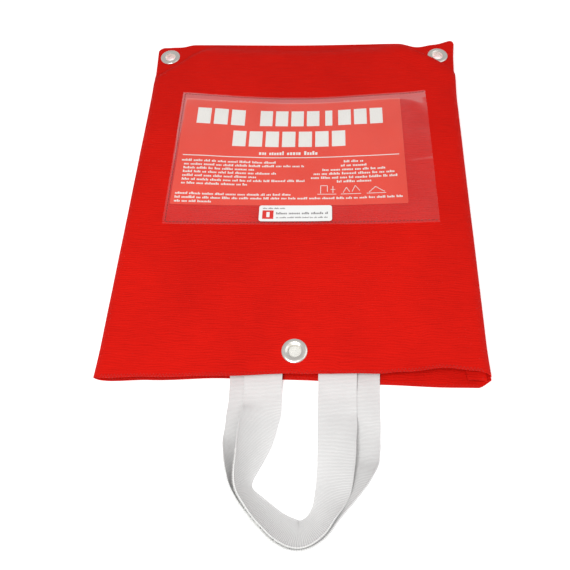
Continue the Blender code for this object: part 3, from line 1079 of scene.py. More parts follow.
@dataclass
class Pouch:
    """The pouch's shape over the folded blanket, and its two panels of cloth.

    Lengths y run from the mouth. The front panel sags between the blanket's thick folded sides,
    gapes at the right of the mouth and folds over the right ear.
    """

    half: float = 0.152
    right_room: float = 0.0028
    side_roll: float = 0.0085
    top_roll: float = 0.020
    top_flat: float = 0.002
    spread_out: float = 0.0035
    spread_at_top: float = 0.084
    spread_at_mouth: float = 0.042
    past_mouth: float = 0.013
    ear_slant: float = 1.19
    ear_round: float = 0.006
    left_ear: float = 0.0128
    right_ear: float = 0.0116
    left_ear_rise: float = 0.013
    right_ear_rise: float = 0.0055
    inside: float = FRONT_Z - 2 * CLOTH
    sag: Hump = Hump(-0.0034, -0.004, 0.135)
    sag_start: float = 0.03
    sag_run: float = 0.22
    fold_ridge: Hump = Hump(0.0006, 0.132, 0.028)
    soft_waves: Waves = Waves(16, 11, 0, 0.4, 0.00085)
    fine_waves: Waves = Waves(46, 34, 3, 1.7, 0.00034)
    gape: Hump = Hump(0.0016, 0.120, 0.050)
    gape_length: float = 0.075
    shut: Hump = Hump(-0.0012, -0.085, 0.075)
    shut_length: float = 0.050
    ear_crest: Hump = Hump(0.0026, 0.008, 0.018)
    ear_fold: Hump = Hump(0.00055, 0.018, 0.014)
    ear_folds: int = 9
    ear_tip: Hump = Hump(0.0050, 0.0, 0.020)
    ear_tip_x: float = 0.158
    hem_reach: float = 0.075
    top_reach: float = 0.325
    hem_stitch: float = 0.0024
    hem_thread_radius: float = 0.00017
    spare_corner: tuple[float, float, float] = (0.1385, 0.0014, 0.0106)
    spare_width: float = 0.0150
    spare_end: float = 0.0135
    spare_bow: float = 0.0010
    front_hem: tuple[tuple[float, float], ...] = (
        (-0.155, -0.0047), (-0.146, -0.0069), (-0.107, -0.0048), (-0.052, -0.0024),
        (0.008, 0.0008), (0.066, 0.0026), (0.090, 0.0046), (0.122, 0.0080), (0.142, 0.0066),
        (0.158, 0.0048))
    back_hem: tuple[tuple[float, float], ...] = (
        (-0.155, -0.0047), (-0.146, -0.0040), (-0.110, -0.0022), (-0.050, 0.0010),
        (0.010, 0.0012), (0.077, -0.0008), (0.120, -0.0016), (0.148, -0.0012), (0.158, 0.0030))
    top_edge: tuple[tuple[float, float], ...] = (
        (-0.157, -0.0010), (-0.147, 0.0000), (-0.131, 0.0006), (-0.116, 0.0042),
        (0.000, 0.0030), (0.101, 0.0038), (0.121, -0.0014), (0.140, 0.0022), (0.158, 0.0024))

    def __post_init__(self) -> None:
        """Places the eyelets, from which the ears' creases are measured."""
        self.eyelets = [Eyelet(name) for name in
                        ("top_left_eyelet", "top_right_eyelet", "front_eyelet")]

    def side(self, y: float, right: bool) -> float:
        """From the middle line to the side crease.

        Args:
            y: From the mouth.
            right: Whether it is the right side.

        Returns:
            The half width.
        """
        from_top = (LENGTH - y) / self.spread_at_top
        from_mouth = (y + self.past_mouth) / self.spread_at_mouth
        wide = self.half + self.spread_out * (1 - ease(from_top))
        wide += self.spread_out * (1 - ease(from_mouth)) / 2
        return wide + (self.right_room if right else 0.0)

    def beyond_ear(self, x: float, y: float) -> float:
        """How far a point stands inside the ear's crease, square to it.

        Args:
            x: Across.
            y: From the mouth.

        Returns:
            The distance, negative on the ear itself.
        """
        right = x > 0
        eyelet = self.eyelets[1 if right else 0]
        slope = math.hypot(1.0, self.ear_slant)
        run = (abs(eyelet.x) - abs(x)) + self.ear_slant * (eyelet.y - MOUTH_Y - y)
        return run / slope - (self.right_ear if right else self.left_ear)

    def fullness(self, x: float, y: float, side: float) -> float:
        """How far the layers stand apart, 0 on a seam or ear to 1 over the blanket.

        Args:
            x: Across.
            y: From the mouth.
            side: The half width there.

        Returns:
            The share.
        """
        over_side = quarter_round((side - abs(x)) / self.side_roll)
        over_top = ease((LENGTH - self.top_flat - y) / self.top_roll)
        past = self.beyond_ear(x, y)
        over_ear = (ease(past / self.right_ear_rise) if x > 0
                    else swell(past / self.left_ear_rise))
        return over_side * over_top * over_ear

    def heave(self, x: float, y: float) -> float:
        """How far the front panel stands above its plain height.

        Args:
            x: Across.
            y: From the mouth.

        Returns:
            The height.
        """
        up_the_pouch = swell((y - self.sag_start) / self.sag_run)
        low = self.sag.at(x) * up_the_pouch
        fold_ridge = self.fold_ridge.at(abs(x)) * up_the_pouch
        gape = self.gape.at(x) * swell(1 - y / self.gape_length)
        shut = self.shut.at(x) * swell(1 - y / self.shut_length)
        crest = self.ear_crest.at(self.beyond_ear(x, y)) if x > 0 else 0.0
        return (low + fold_ridge + gape + shut + crest + self.soft_waves.at(x, y)
                + self.fine_waves.at(x, y))

    def pucker(self, x: float, y: float) -> float:
        """Small folds that run out from an ear's eyelet.

        Args:
            x: Across.
            y: From the mouth.

        Returns:
            The folds' height.
        """
        lift = 0.0
        for eyelet in self.eyelets[:2]:
            out_x, out_y = x - eyelet.x, y - (eyelet.y - MOUTH_Y)
            away = math.hypot(out_x, out_y)
            if away > eyelet.radius:
                ripple = math.sin(self.ear_folds * math.atan2(out_y, out_x) + 1.0)
                lift += ripple * self.ear_fold.at(away)
        return lift

    def inner(self, x: float, y: float, side: float, layer: Layer) -> float:
        """Height of a panel's inner face.

        Args:
            x: Across.
            y: From the mouth.
            side: The half width there.
            layer: Which panel.

        Returns:
            The height.
        """
        full = self.fullness(x, y, side)
        height = MIDDLE_Z + layer.value * (GAP / 6 + (self.inside - GAP / 3) / 2 * full)
        if layer is Layer.FRONT:
            height += (self.heave(x, y) + self.pucker(x, y) * (1 - full)) * min(1, full * 2 + 0.1)
        return height

    def front(self, x: float, y: float) -> float:
        """Height of the front panel's outer face."""
        return self.inner(x, y, self.side(y, x > 0), Layer.FRONT) + CLOTH

    def round_corner(self, x: float, y: float, side: float) -> tuple[float, float]:
        """Moves a point of a square top corner onto the rounded one.

        Args:
            x: Across.
            y: From the mouth.
            side: The half width there.

        Returns:
            The point's new (x, y), the same away from the corners.
        """
        across = 1 - (side - abs(x)) / self.ear_round
        along = 1 - (LENGTH - y) / self.ear_round
        if across <= 0 or along <= 0:
            return x, y
        round_x = side - self.ear_round * (1 - across * math.sqrt(1 - along * along / 2))
        round_y = LENGTH - self.ear_round * (1 - along * math.sqrt(1 - across * across / 2))
        return math.copysign(round_x, x), round_y

    def curl(self, x: float, y: float) -> float:
        """How far the limp tip of the right ear stands up."""
        away = math.hypot(x - self.ear_tip_x, y - LENGTH)
        return self.ear_tip.at(away) if x > 0 else 0.0

    def point(self, share: float, y: float, layer: Layer) -> Vector:
        """Place of a panel's inner face, from a share of its half width.

        Args:
            share: From -1 on the left seam to 1 on the right one.
            y: From the mouth.
            layer: Which panel.

        Returns:
            The place.
        """
        side = self.side(y, share > 0)
        x = share * side
        z = self.inner(x, y, side, layer) + self.curl(x, y)
        hem = self.front_hem if layer is Layer.FRONT else self.back_hem
        near_mouth = swell(1 - y / self.hem_reach)
        near_top = swell((y - self.top_reach) / (LENGTH - self.top_reach))
        wander = through(hem, x) * near_mouth + through(self.top_edge, x) * near_top
        x, y = self.round_corner(x, y, side)
        return Vector((x, MOUTH_Y + y + wander, z))

    def columns(self) -> list[float]:
        """Shares across a panel, closer where it rolls over at the sides.

        Returns:
            The shares from -1 to 1.
        """
        rolled = [1 - self.side_roll / self.half * step ** 2 for step in spread(0, 1, 9)]
        flat = [rolled[-1] * (1 - step) for step in spread(0, 1, 62)[1:-1]]
        half = rolled + flat
        return [-share for share in half] + [0.0] + half[::-1]

    def panel(self, layer: Layer) -> bpy.types.Object:
        """One layer of cloth, with holes under the eyelets.

        Args:
            layer: Which panel.

        Returns:
            The panel.
        """
        plain_end = 0.29
        rows = spread(0.0, plain_end, 118) + spread(plain_end, LENGTH, 44)[1:]
        made = woven_grid(f"pouch_{layer.word}_cloth", self.columns(), rows,
                          lambda share, y: self.point(share, y, layer))
        form = bmesh.new()
        form.from_mesh(made.data)
        holes = self.eyelets if layer is Layer.FRONT else self.eyelets[:2]
        punched = [face for face in form.faces for hole in holes
                   if math.hypot(face.calc_center_median().x - hole.x,
                                 face.calc_center_median().y - hole.y) < hole.hole]
        bmesh.ops.delete(form, geom=punched, context="FACES")
        if layer is Layer.BACK:
            bmesh.ops.reverse_faces(form, faces=form.faces)
        form.to_mesh(made.data)
        form.free()
        thicken(made, DRAWN_CLOTH, OUTWARDS)
        smooth(made)
        return made

    def hem_thread(self, layer: Layer) -> bpy.types.Object:
        """Overcast stitches over a panel's cut edge at the mouth.

        Args:
            layer: Which panel.

        Returns:
            The thread.
        """
        points = []
        lift = CLOTH + 0.00006 if layer is Layer.FRONT else -0.00004
        for index, share in enumerate(spread(-0.955, 0.955, 230)):
            inset = self.hem_stitch if index % 2 else 0.0
            place = self.point(share, inset, layer)
            place.z += lift
            if not inset:
                place.y -= 0.0002
            points.append(place)
        return tube(f"{layer.word}_hem_overcast", points, self.hem_thread_radius)

    def seam_allowance(self) -> bpy.types.Object:
        """The side seam's spare cloth, folded inwards at the right of the mouth.

        Returns:
            The spare cloth.
        """
        def place(across: float, along: float) -> Vector:
            """A point of the spare cloth, from shares across and along it.

            Args:
                across: Share across it, from the side seam.
                along: Share along it, into the pouch.

            Returns:
                The point.
            """
            bow = self.spare_bow * math.sin(math.pi * across)
            x, edge, z = self.spare_corner
            edge += bow
            x += self.spare_width * across - 0.0012 * along
            y = edge + (self.spare_end - edge) * along
            return Vector((x, MOUTH_Y + y, z - 0.0022 * across - bow + 0.0010 * along))

        made = woven_grid("right_seam_allowance", spread(0, 1, 18), spread(0, 1, 8), place)
        thicken(made, DRAWN_CLOTH, CENTRED)
        smooth(made)
        return made

    def build(self) -> None:
        """Makes the pouch's pieces and dresses the CAD pieces that stay."""
        front, back = [finished(self.panel(layer), RED_COTTON, Body.POUCH, Slot.COTTON,
                                f"pouch_{layer.word}_panel") for layer in Layer]
        for layer in Layer:
            finished(self.hem_thread(layer), RED_THREAD, Body.POUCH, Slot.RED_THREAD,
                     f"{layer.word}_mouth_thread")
        allowance = self.seam_allowance()
        finished(allowance, RED_COTTON, Body.POUCH, Slot.COTTON)
        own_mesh(allowance)
        for eyelet in self.eyelets:
            eyelet.build()
            WARDROBE.dress(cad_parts[eyelet.node + "_washer"], NICKEL)
        for seam in ("left", "right", "top"):
            WARDROBE.dress(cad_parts[seam + "_seam_thread"], RED_THREAD)


# Label

@dataclass(frozen=True)
class Lines:
    """Printed lines: the first one's start, their pitch, height and widths, in millimetres."""

    left: float
    foot: float
    pitch: float
    high: float
    widths: tuple[float, ...]
    centred: bool = False
    indent: float = 0.0


HEADINGS = ((13.5, 64, 96.5, 20, 3), (75.5, 197, 96.5, 20, 8), (50.5, 161, 70, 19.5, 7))
CARD_TITLE = Lines(106, 60, 0, 4.6, (58,), centred=True)
CARD_LINES = (Lines(5, 49.5, 4.45, 2.6, (88, 112, 66, 86, 68, 112, 60), indent=2.5),
              Lines(3.5, 11.2, 4.3, 2.5, (108, 203, 36)),
              Lines(166, 49.5, 4.7, 2.7, (18, 26, 57, 73, 80, 32), centred=True))
STICKER_LINES = (Lines(3.2, 13.6, 0, 1.5, (22,)), Lines(15.2, 7.6, 0, 2.5, (45,)),
                 Lines(15.2, 3.4, 0, 1.5, (46,)))
STICKER_SQUARE = ((3.0, 2.6, 3.6, 9.4), (9.4, 2.6, 3.4, 9.4), (6.6, 2.6, 2.8, 1.9),
                  (6.6, 10.2, 2.8, 1.8))
SIGNS = (
    ((132, 12.6), (149, 12.6)), ((135, 13.4), (135, 22.5)), ((135, 22.5), (141, 22.5)),
    ((141, 22.5), (141, 15.5)), ((146, 14), (146, 22)), ((144, 18), (148, 18)),
    ((153, 12.6), (171, 12.6)), ((155, 14), (158, 20)), ((158, 20), (161, 15)),
    ((163, 15), (166, 22)), ((166, 22), (170, 16)),
    ((176, 12.6), (193, 12.6)), ((178, 13.6), (184, 20)), ((184, 20), (189, 16)),
    ((189, 16), (192, 14)))


@dataclass
class Label:
    """The film pocket on the front panel, the printed card in it and the sticker on it."""

    pouch: Pouch
    card: CutSheet = CutSheet("printed_card", 0.0015, 4, (96, 60), 0.00035)
    sticker: CutSheet = CutSheet("sticker_paper", 0.0022, 5, (24, 8), 0.00016)
    film: float = 0.00025
    card_rise: float = 0.00035
    film_rise: float = 0.0012
    sewn_rise: float = 0.00012
    left_roll: float = 0.0022
    other_roll: float = 0.0080
    left_seam: float = 0.0010
    other_seam: float = 0.0016
    open_rise: float = 0.0006
    open_reach: float = 0.020
    empty_reach: float = 0.010
    empty_drop: float = 0.0004
    crease: Hump = Hump(0.0005, 0.069, 0.004)
    crease_slope: float = 0.10
    crinkle: Waves = Waves(90, 60, 0, 5.0, 0.00028)
    clear: float = 0.0004
    way_out_band: tuple[float, float] = (0.119, 0.158)
    low_corners: tuple[tuple[float, float], ...] = ((-0.0002, -0.0026), (0.0022, 0.0018))
    high_corners: tuple[tuple[float, float], ...] = ((-0.0008, -0.0004), (-0.0008, 0.0012))
    sag: float = 0.0050
    sag_at_foot: float = 0.15
    print_height: float = 0.00005
    print_room: float = 0.00003
    word_lengths: tuple[int, int] = (3, 9)
    word_gap: float = 0.55
    block_steps: tuple[float, float] = (0.42, 0.66)
    block_width: float = 0.72
    block_heights: tuple[float, ...] = (0.62, 0.66, 0.70, 1.0)
    stitch_pitch: float = 0.0031
    stitch_length: float = 0.0023
    stitch_width: float = 0.00055
    stitch_height: float = 0.0004
    stitch_inset: float = 0.0022
    stitch_skew: float = 0.0001
    stitch_arch: float = 0.00012
    seed: int = 5

    def __post_init__(self) -> None:
        """Reads the pocket's, card's and sticker's places from the frame."""
        self.pocket_low, self.pocket_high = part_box("label_pocket_film")
        self.card_low, self.card_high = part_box("label_card")
        self.sticker_low, self.sticker_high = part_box("sticker")
        self.random = random.Random(self.seed)

    def warped(self, x: float, y: float) -> tuple[float, float]:
        """Skews and sags a place on the label, as the limp cloth under it does.

        Args:
            x: Across, as the CAD has it.
            y: The model's own coordinate, as the CAD has it.

        Returns:
            The moved (x, y).
        """
        low, high = self.pocket_low, self.pocket_high
        u = (x - low.x) / (high.x - low.x)
        v = (y - low.y) / (high.y - low.y)
        shift_x, shift_y = [
            (low_left * (1 - u) + low_right * u) * (1 - v)
            + (high_left * (1 - u) + high_right * u) * v
            for low_left, low_right, high_left, high_right
            in zip(*self.low_corners, *self.high_corners)]
        middle = 4 * clamp(u) * (1 - clamp(u))
        sagging = self.sag * middle * (self.sag_at_foot + (1 - self.sag_at_foot) * clamp(v))
        return x + shift_x, y + shift_y - sagging

    def on_front(self, x: float, y: float, above: float) -> Vector:
        """A place on the label, at a height above the front panel.

        Args:
            x: As the CAD has it.
            y: As the CAD has it.
            above: In metres.

        Returns:
            The place.
        """
        wx, wy = self.warped(x, y)
        return Vector((wx, wy, self.pouch.front(wx, wy - MOUTH_Y) + above))

    def film_height(self, x: float, y: float) -> float:
        """How high the film's underside stands above the front panel.

        Args:
            x: As the CAD has it.
            y: As the CAD has it.

        Returns:
            The height.
        """
        low, high = self.pocket_low, self.pocket_high
        to_seam = min(y - low.y, high.y - y)
        at_left = swell((x - low.x - self.left_seam) / self.left_roll)
        seamed = min(at_left, swell((to_seam - self.other_seam) / self.other_roll))
        open_side = (self.open_rise * swell((x - high.x + self.open_reach) / self.open_reach)
                     * swell(min(x - low.x, to_seam) / self.open_reach))
        empty = swell((x - self.card_high.x) / self.empty_reach)
        crease = self.crease.at(y - low.y - self.crease_slope * (x - high.x)) * empty
        crinkle = self.crinkle.at(x, y) * (0.25 + empty)
        loose = self.film_rise - self.empty_drop * empty + open_side + crinkle + crease
        return self.sewn_rise + (loose - self.sewn_rise) * seamed

    def way_out(self) -> float:
        """Height at which the card, drawn out, clears the panel at the pocket's open side.

        Returns:
            The height.
        """
        low, high = self.card_low.y - MOUTH_Y, self.card_high.y - MOUTH_Y
        return self.clear + max(self.pouch.front(x, y) for x in spread(*self.way_out_band, 12)
                                for y in spread(low, high, 20))

    def film_sheet(self) -> bpy.types.Object:
        """The clear film, sewn along three sides and open at the right.

        Returns:
            The film.
        """
        low, high = self.pocket_low, self.pocket_high
        made = woven_grid("label_film", spread(low.x, high.x, 130), spread(low.y, high.y, 90),
                          lambda x, y: self.on_front(x, y, self.film_height(x, y)))
        thicken(made, self.film, OUTWARDS)
        smooth(made)
        return made

    def stitches(self, name: str, start: tuple[float, float],
                 end: tuple[float, float]) -> bpy.types.Object:
        """One row of short stitches through the film.

        Args:
            name: The piece's name.
            start: The row's first (x, y).
            end: The row's last (x, y).

        Returns:
            The stitches.
        """
        count = round(math.dist(start, end) / self.stitch_pitch)
        model = small_block(bevel=0.24)
        along_x = abs(end[0] - start[0]) > abs(end[1] - start[1])
        places = []
        for index in range(count):
            share = (index + 0.5) / count
            x = start[0] + (end[0] - start[0]) * share
            y = start[1] + (end[1] - start[1]) * share
            tip = self.random.uniform(-self.stitch_skew, self.stitch_skew)
            places.append(self.stitch(x, y, tip, along_x))
        made = stamp(name, model, places)
        smooth(made, degrees=60.0)
        return made

    def stitch(self, x: float, y: float, tip: float,
               along_x: bool) -> Callable[[Vector], Vector]:
        """One stitch that lies on the film.

        Args:
            x: The stitch's middle.
            y: The stitch's middle.
            tip: How far it stands askew.
            along_x: Whether its row runs along X.

        Returns:
            What turns a point of a small block into its place.
        """
        def place(point: Vector) -> Vector:
            """A point of the block on the film.

            Args:
                point: In a cube of size 1.

            Returns:
                Its place.
            """
            long, short = point.x * self.stitch_length, point.y * self.stitch_width
            short += tip * point.x
            dx, dy = (long, short) if along_x else (short, long)
            base = self.on_front(x + dx, y + dy, self.film_height(x + dx, y + dy))
            arch = self.stitch_arch * (1 - 4 * point.x ** 2)
            above = self.film + arch + (point.z + 0.2) * self.stitch_height
            return base + Vector((0, 0, above))

        return place

    def laid(self, sheet: CutSheet, low: Vector, high: Vector,
             above: float) -> bpy.types.Object:
        """Lays a cut sheet on the label, at a height above the front panel.

        Args:
            sheet: How it is cut.
            low: Lowest corner of its CAD box.
            high: Highest corner of its CAD box.
            above: The height of its underside.

        Returns:
            The sheet.
        """
        made = sheet.flat(low, high)
        for vertex in made.data.vertices:
            vertex.co = self.on_front(vertex.co.x, vertex.co.y, above)
        thicken(made, sheet.thickness, OUTWARDS)
        smooth(made)
        return made

    def mark(self, x: float, y: float, wide: float, high: float,
             origin: Vector, above: float) -> Callable[[Vector], Vector]:
        """A printed block: its left, foot, width and height on the card, in metres.

        Args:
            x: Its left edge.
            y: Its foot.
            wide: Its width.
            high: Its height on the card.
            origin: The corner that x and y start from.
            above: Height above the front panel.

        Returns:
            What turns a point of a small block into its place.
        """
        def place(point: Vector) -> Vector:
            """A point of the block on the label.

            Args:
                point: In a cube of size 1.

            Returns:
                Its place.
            """
            px = origin.x + x + (point.x + 0.5) * wide
            py = origin.y + y + (point.y + 0.5) * high
            return self.on_front(px, py, above + (point.z + 0.5) * self.print_height)

        return place

    def words(self, left: float, foot: float, wide: float, high: float, origin: Vector,
              above: float, centred: bool = False) -> list[Callable[[Vector], Vector]]:
        """A line of small blocks grouped as words, none of them a letter.

        Args:
            left: Where the line starts, or its middle.
            foot: Its foot.
            wide: Its width.
            high: The blocks' height.
            origin: The corner that left and foot start from.
            above: Height above the front panel.
            centred: Whether left is its middle.

        Returns:
            The blocks.
        """
        marks: list[tuple[float, float, float]] = []
        x = 0.0
        while x < wide - mm(2):
            for _ in range(self.random.randint(*self.word_lengths)):
                step = high * self.random.uniform(*self.block_steps)
                tall = high * self.random.choice(self.block_heights)
                marks.append((x, step * self.block_width, tall))
                x += step
                if x > wide:
                    break
            x += high * self.word_gap
        shift = left - x / 2 if centred else left
        return [self.mark(shift + at, foot, thick, tall, origin, above)
                for at, thick, tall in marks]

    def text(self, lines: Lines, origin: Vector,
             above: float) -> list[Callable[[Vector], Vector]]:
        """Some lines of small blocks under each other.

        Args:
            lines: The lines.
            origin: The corner that they start from.
            above: Height above the front panel.

        Returns:
            The blocks.
        """
        marks = []
        for row, wide in enumerate(lines.widths):
            left = lines.left + lines.indent * (row > 0)
            marks += self.words(mm(left), mm(lines.foot - lines.pitch * row), mm(wide),
                                mm(lines.high), origin, above, lines.centred)
        return marks

    def heading(self, left: float, right: float, foot: float, high: float, count: int,
                origin: Vector, above: float) -> list[Callable[[Vector], Vector]]:
        """A row of plain upright blocks, of which the fifth of a long row is slim.

        Args:
            left: Its left end.
            right: Its right end.
            foot: Its foot.
            high: Its height.
            count: How many blocks.
            origin: The corner that it starts from.
            above: Height above the front panel.

        Returns:
            The blocks.
        """
        pitch = (right - left) / count
        marks = []
        for index in range(count):
            slim = pitch * (0.45 if index == 4 and count > 7 else 0.80)
            at = left + pitch * index + (pitch * 0.82 - slim) / 2
            marks.append(self.mark(at, foot, slim, high, origin, above))
        return marks

    def card_print(self) -> bpy.types.Object:
        """White print on the card: plain heading blocks, lines of small blocks, a rule, signs.

        Returns:
            The print.
        """
        origin, above = self.card_low, self.card_rise + self.card.thickness + self.print_room
        blocks = []
        for left, right, foot, high, count in HEADINGS:
            blocks += self.heading(mm(left), mm(right), mm(foot), mm(high), count, origin, above)
        marks = self.text(CARD_TITLE, origin, above)
        rule = spread(mm(5), mm(207), 40)
        marks += [self.mark(start, mm(56.2), end - start, mm(0.9), origin, above)
                  for start, end in zip(rule, rule[1:])]
        for lines in CARD_LINES:
            marks += self.text(lines, origin, above)
        marks += self.signs(origin, above)
        return join("card_print", [stamp("card_lines", small_block(), marks),
                                   stamp("card_blocks", small_block(cuts=4), blocks)])

    def signs(self, origin: Vector, above: float) -> list[Callable[[Vector], Vector]]:
        """Three plain line drawings: a hanging packet, an open sheet and a sheet laid flat.

        Args:
            origin: The corner that they start from.
            above: Height above the front panel.

        Returns:
            The small blocks of their strokes.
        """
        stroke, step_length = 0.55, 1.1
        marks = []
        for start, end in SIGNS:
            steps = max(2, round(math.dist(start, end) / step_length))
            wide = mm(max(stroke, abs(end[0] - start[0]) / steps))
            high = mm(max(stroke, abs(end[1] - start[1]) / steps))
            for index in range(steps):
                x = start[0] + (end[0] - start[0]) * (index + 0.5) / steps
                y = start[1] + (end[1] - start[1]) * (index + 0.5) / steps
                marks.append(self.mark(mm(x) - wide / 2, mm(y) - high / 2, wide, high, origin,
                                       above))
        return marks

    @property
    def on_film(self) -> float:
        """Height of the sticker's underside above the front panel."""
        return self.film_rise + self.film + 0.00035

    def sticker_marks(self) -> tuple[bpy.types.Object, bpy.types.Object]:
        """The sticker's plain red square, and its grey lines of small blocks.

        Returns:
            The red piece and the grey piece.
        """
        origin, above = self.sticker_low, self.on_film + 0.00018
        square = [self.mark(*map(mm, block), origin, above) for block in STICKER_SQUARE]
        red = stamp("sticker_square", small_block(), square)
        marks = []
        for lines in STICKER_LINES:
            marks += self.text(lines, origin, above)
        return red, stamp("sticker_lines", small_block(), marks)

    def build(self) -> None:
        """Makes the label's pieces."""
        low, high = self.pocket_low, self.pocket_high
        finished(self.film_sheet(), CLEAR_FILM, Body.POUCH, Slot.FILM, "label_pocket_film")
        left, foot, head = (low.x + self.stitch_inset, low.y + self.stitch_inset,
                            high.y - self.stitch_inset)
        right = high.x - 0.001
        corners = ((left, foot), (left, head), (right, head), (right, foot))
        rows = (("left", corners[0], corners[1]), ("top", corners[1], corners[2]),
                ("bottom", corners[0], corners[3]))
        for name, start, end in rows:
            finished(self.stitches(f"pocket_stitches_{name}", start, end), SEAM_THREAD,
                     Body.POUCH, Slot.RED_THREAD, f"pocket_stitching_{name}")
        card = finished(self.laid(self.card, self.card_low, self.card_high, self.card_rise),
                        RED_CARD, Body.CARD, Slot.CARD, "label_card")
        marks = finished(self.card_print(), PRINT_WHITE, Body.CARD, Slot.CARD)
        for piece in (card, marks):
            self.way_out()
            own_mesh(piece)
        finished(self.laid(self.sticker, self.sticker_low, self.sticker_high, self.on_film),
                 STICKER_PAPER, Body.POUCH, Slot.STICKER, "sticker")
        red, grey = self.sticker_marks()
        finished(red, INK_RED, Body.POUCH, Slot.STICKER)
        finished(grey, INK_GREY, Body.POUCH, Slot.STICKER)


# Blanket and pull tapes

@dataclass
class FoldedBlanket:
    """One sheet of glass cloth, folded in six along and then in five across."""

    pouch: Pouch
    leaves: int = 5
    layers: int = 6
    cloth: float = 0.00036
    corner: float = 0.0415
    pulled: Hump = Hump(0.0045, 0.118, 0.055)
    least_height: float = 0.004
    room: float = 0.0006
    weave_steps: tuple[float, float] = (0.0196, 0.0192)

    def __post_init__(self) -> None:
        """Reads the stack's size from the frame."""
        self.low, self.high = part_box("folded_blanket")
        self.pitch = (self.high.z - self.low.z) / (self.leaves * self.layers)
        self.bundle = self.pitch * self.layers
        self.middle = (self.low + self.high) / 2

    def row(self, index: int, turn: float, share: float) -> tuple[float, float]:
        """(y, height in the bundle) of a place along the sheet.

        Args:
            index: Which layer.
            turn: 0 on the flat, or the angle round the fold after it.
            share: Share along the flat.

        Returns:
            The place, from the middle of the stack.
        """
        flat = (self.high.y - self.low.y) / 2 - self.pitch / 2
        way = 1 if index % 2 == 0 else -1
        if turn <= 0:
            return way * (2 * share - 1) * flat, (index + 0.5) * self.pitch
        bulge = way * self.pitch / 2 * math.sin(turn)
        return way * flat + bulge, (index + 1) * self.pitch - self.pitch / 2 * math.cos(turn)

    def place(self, column: tuple[int, float, float], row: tuple[int, float, float]) -> Vector:
        """Where a place of the sheet lies when it is folded.

        Args:
            column: (leaf, turn, share) across the sheet.
            row: (layer, turn, share) along it.

        Returns:
            The place.
        """
        y, inside = self.row(*row)
        index, turn, share = column
        flat = (self.high.x - self.low.x) / 2 - self.bundle
        way = 1 if index % 2 == 0 else -1
        level = inside if index % 2 == 0 else self.bundle - inside
        if turn <= 0:
            x, z = way * (2 * share - 1) * flat, index * self.bundle + level
        else:
            radius = self.bundle - level
            x = way * (flat + radius * math.sin(turn))
            z = (index + 1) * self.bundle - radius * math.cos(turn)
        return self.settle_down(x, y, z)

    def settle_down(self, x: float, y: float, z: float) -> Vector:
        """Moves a place of the plain stack to its place in the pouch, a little uneven.

        Args:
            x: From the stack's middle.
            y: From the stack's middle.
            z: From its underside.

        Returns:
            The place.
        """
        half_x, half_y = (self.high.x - self.low.x) / 2, (self.high.y - self.low.y) / 2
        if y < 0:
            y += self.pulled.at(x) * swell(-y / half_y)
        x *= 1 - abs(uneven(z * 420, 0.3, 8.0, 0.006))
        y *= 1 - abs(uneven(2.0, z * 380, 4.0, 0.005))
        across = 1 - (half_x - abs(x)) / self.corner
        along = 1 - (half_y - y) / self.corner
        if across > 0 and along > 0:
            round_x = half_x - self.corner * (1 - across * math.sqrt(1 - along * along / 2))
            y = half_y - self.corner * (1 - along * math.sqrt(1 - across * across / 2))
            x = math.copysign(round_x, x)
        world_y = self.middle.y + y
        room = self.pouch.front(x, world_y - MOUTH_Y) - CLOTH - self.room - self.low.z
        height = min(self.high.z - self.low.z, max(room, self.least_height))
        share = z / (self.high.z - self.low.z)
        ripple = uneven(x * 30, y * 24, z * 260, 0.00012)
        return Vector((x, world_y, self.low.z + share * height + ripple * share))

    def steps(self, folds: int, flat_steps: int,
              turn_steps: int) -> list[tuple[int, float, float]]:
        """(fold, turn, share) parameters along the zigzag.

        Args:
            folds: How many flats.
            flat_steps: Steps along each flat.
            turn_steps: Steps round each fold.

        Returns:
            The parameters, in order.
        """
        found = []
        for index in range(folds):
            found += [(index, 0.0, share) for share in spread(0, 1, flat_steps)]
            if index < folds - 1:
                turns = spread(0, math.pi, turn_steps + 1)[1:-1]
                found += [(index, turn, 1.0) for turn in turns]
        return found

    def build(self) -> None:
        """Makes the folded sheet and dresses the box stitches in it."""
        columns = self.steps(self.leaves, 12, 6)
        rows = self.steps(self.layers, 16, 4)
        made = woven_grid("glass_cloth_folded", range(len(columns)), range(len(rows)),
                          lambda s, t: self.place(columns[s], rows[t]))
        for loop in made.data.uv_layers["cloth"].data:
            loop.uv = (loop.uv.x * self.weave_steps[0], loop.uv.y * self.weave_steps[1])
        thicken(made, self.cloth, CENTRED)
        smooth(made, degrees=60.0)
        finished(made, GLASS_CLOTH, Body.BLANKET, Slot.GLASS_CLOTH, "folded_blanket")
        for tape in ("outer", "inner"):
            for side in ("left", "right"):
                WARDROBE.dress(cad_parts[f"{tape}_tape_{side}_box_stitch"], WHITE_THREAD)


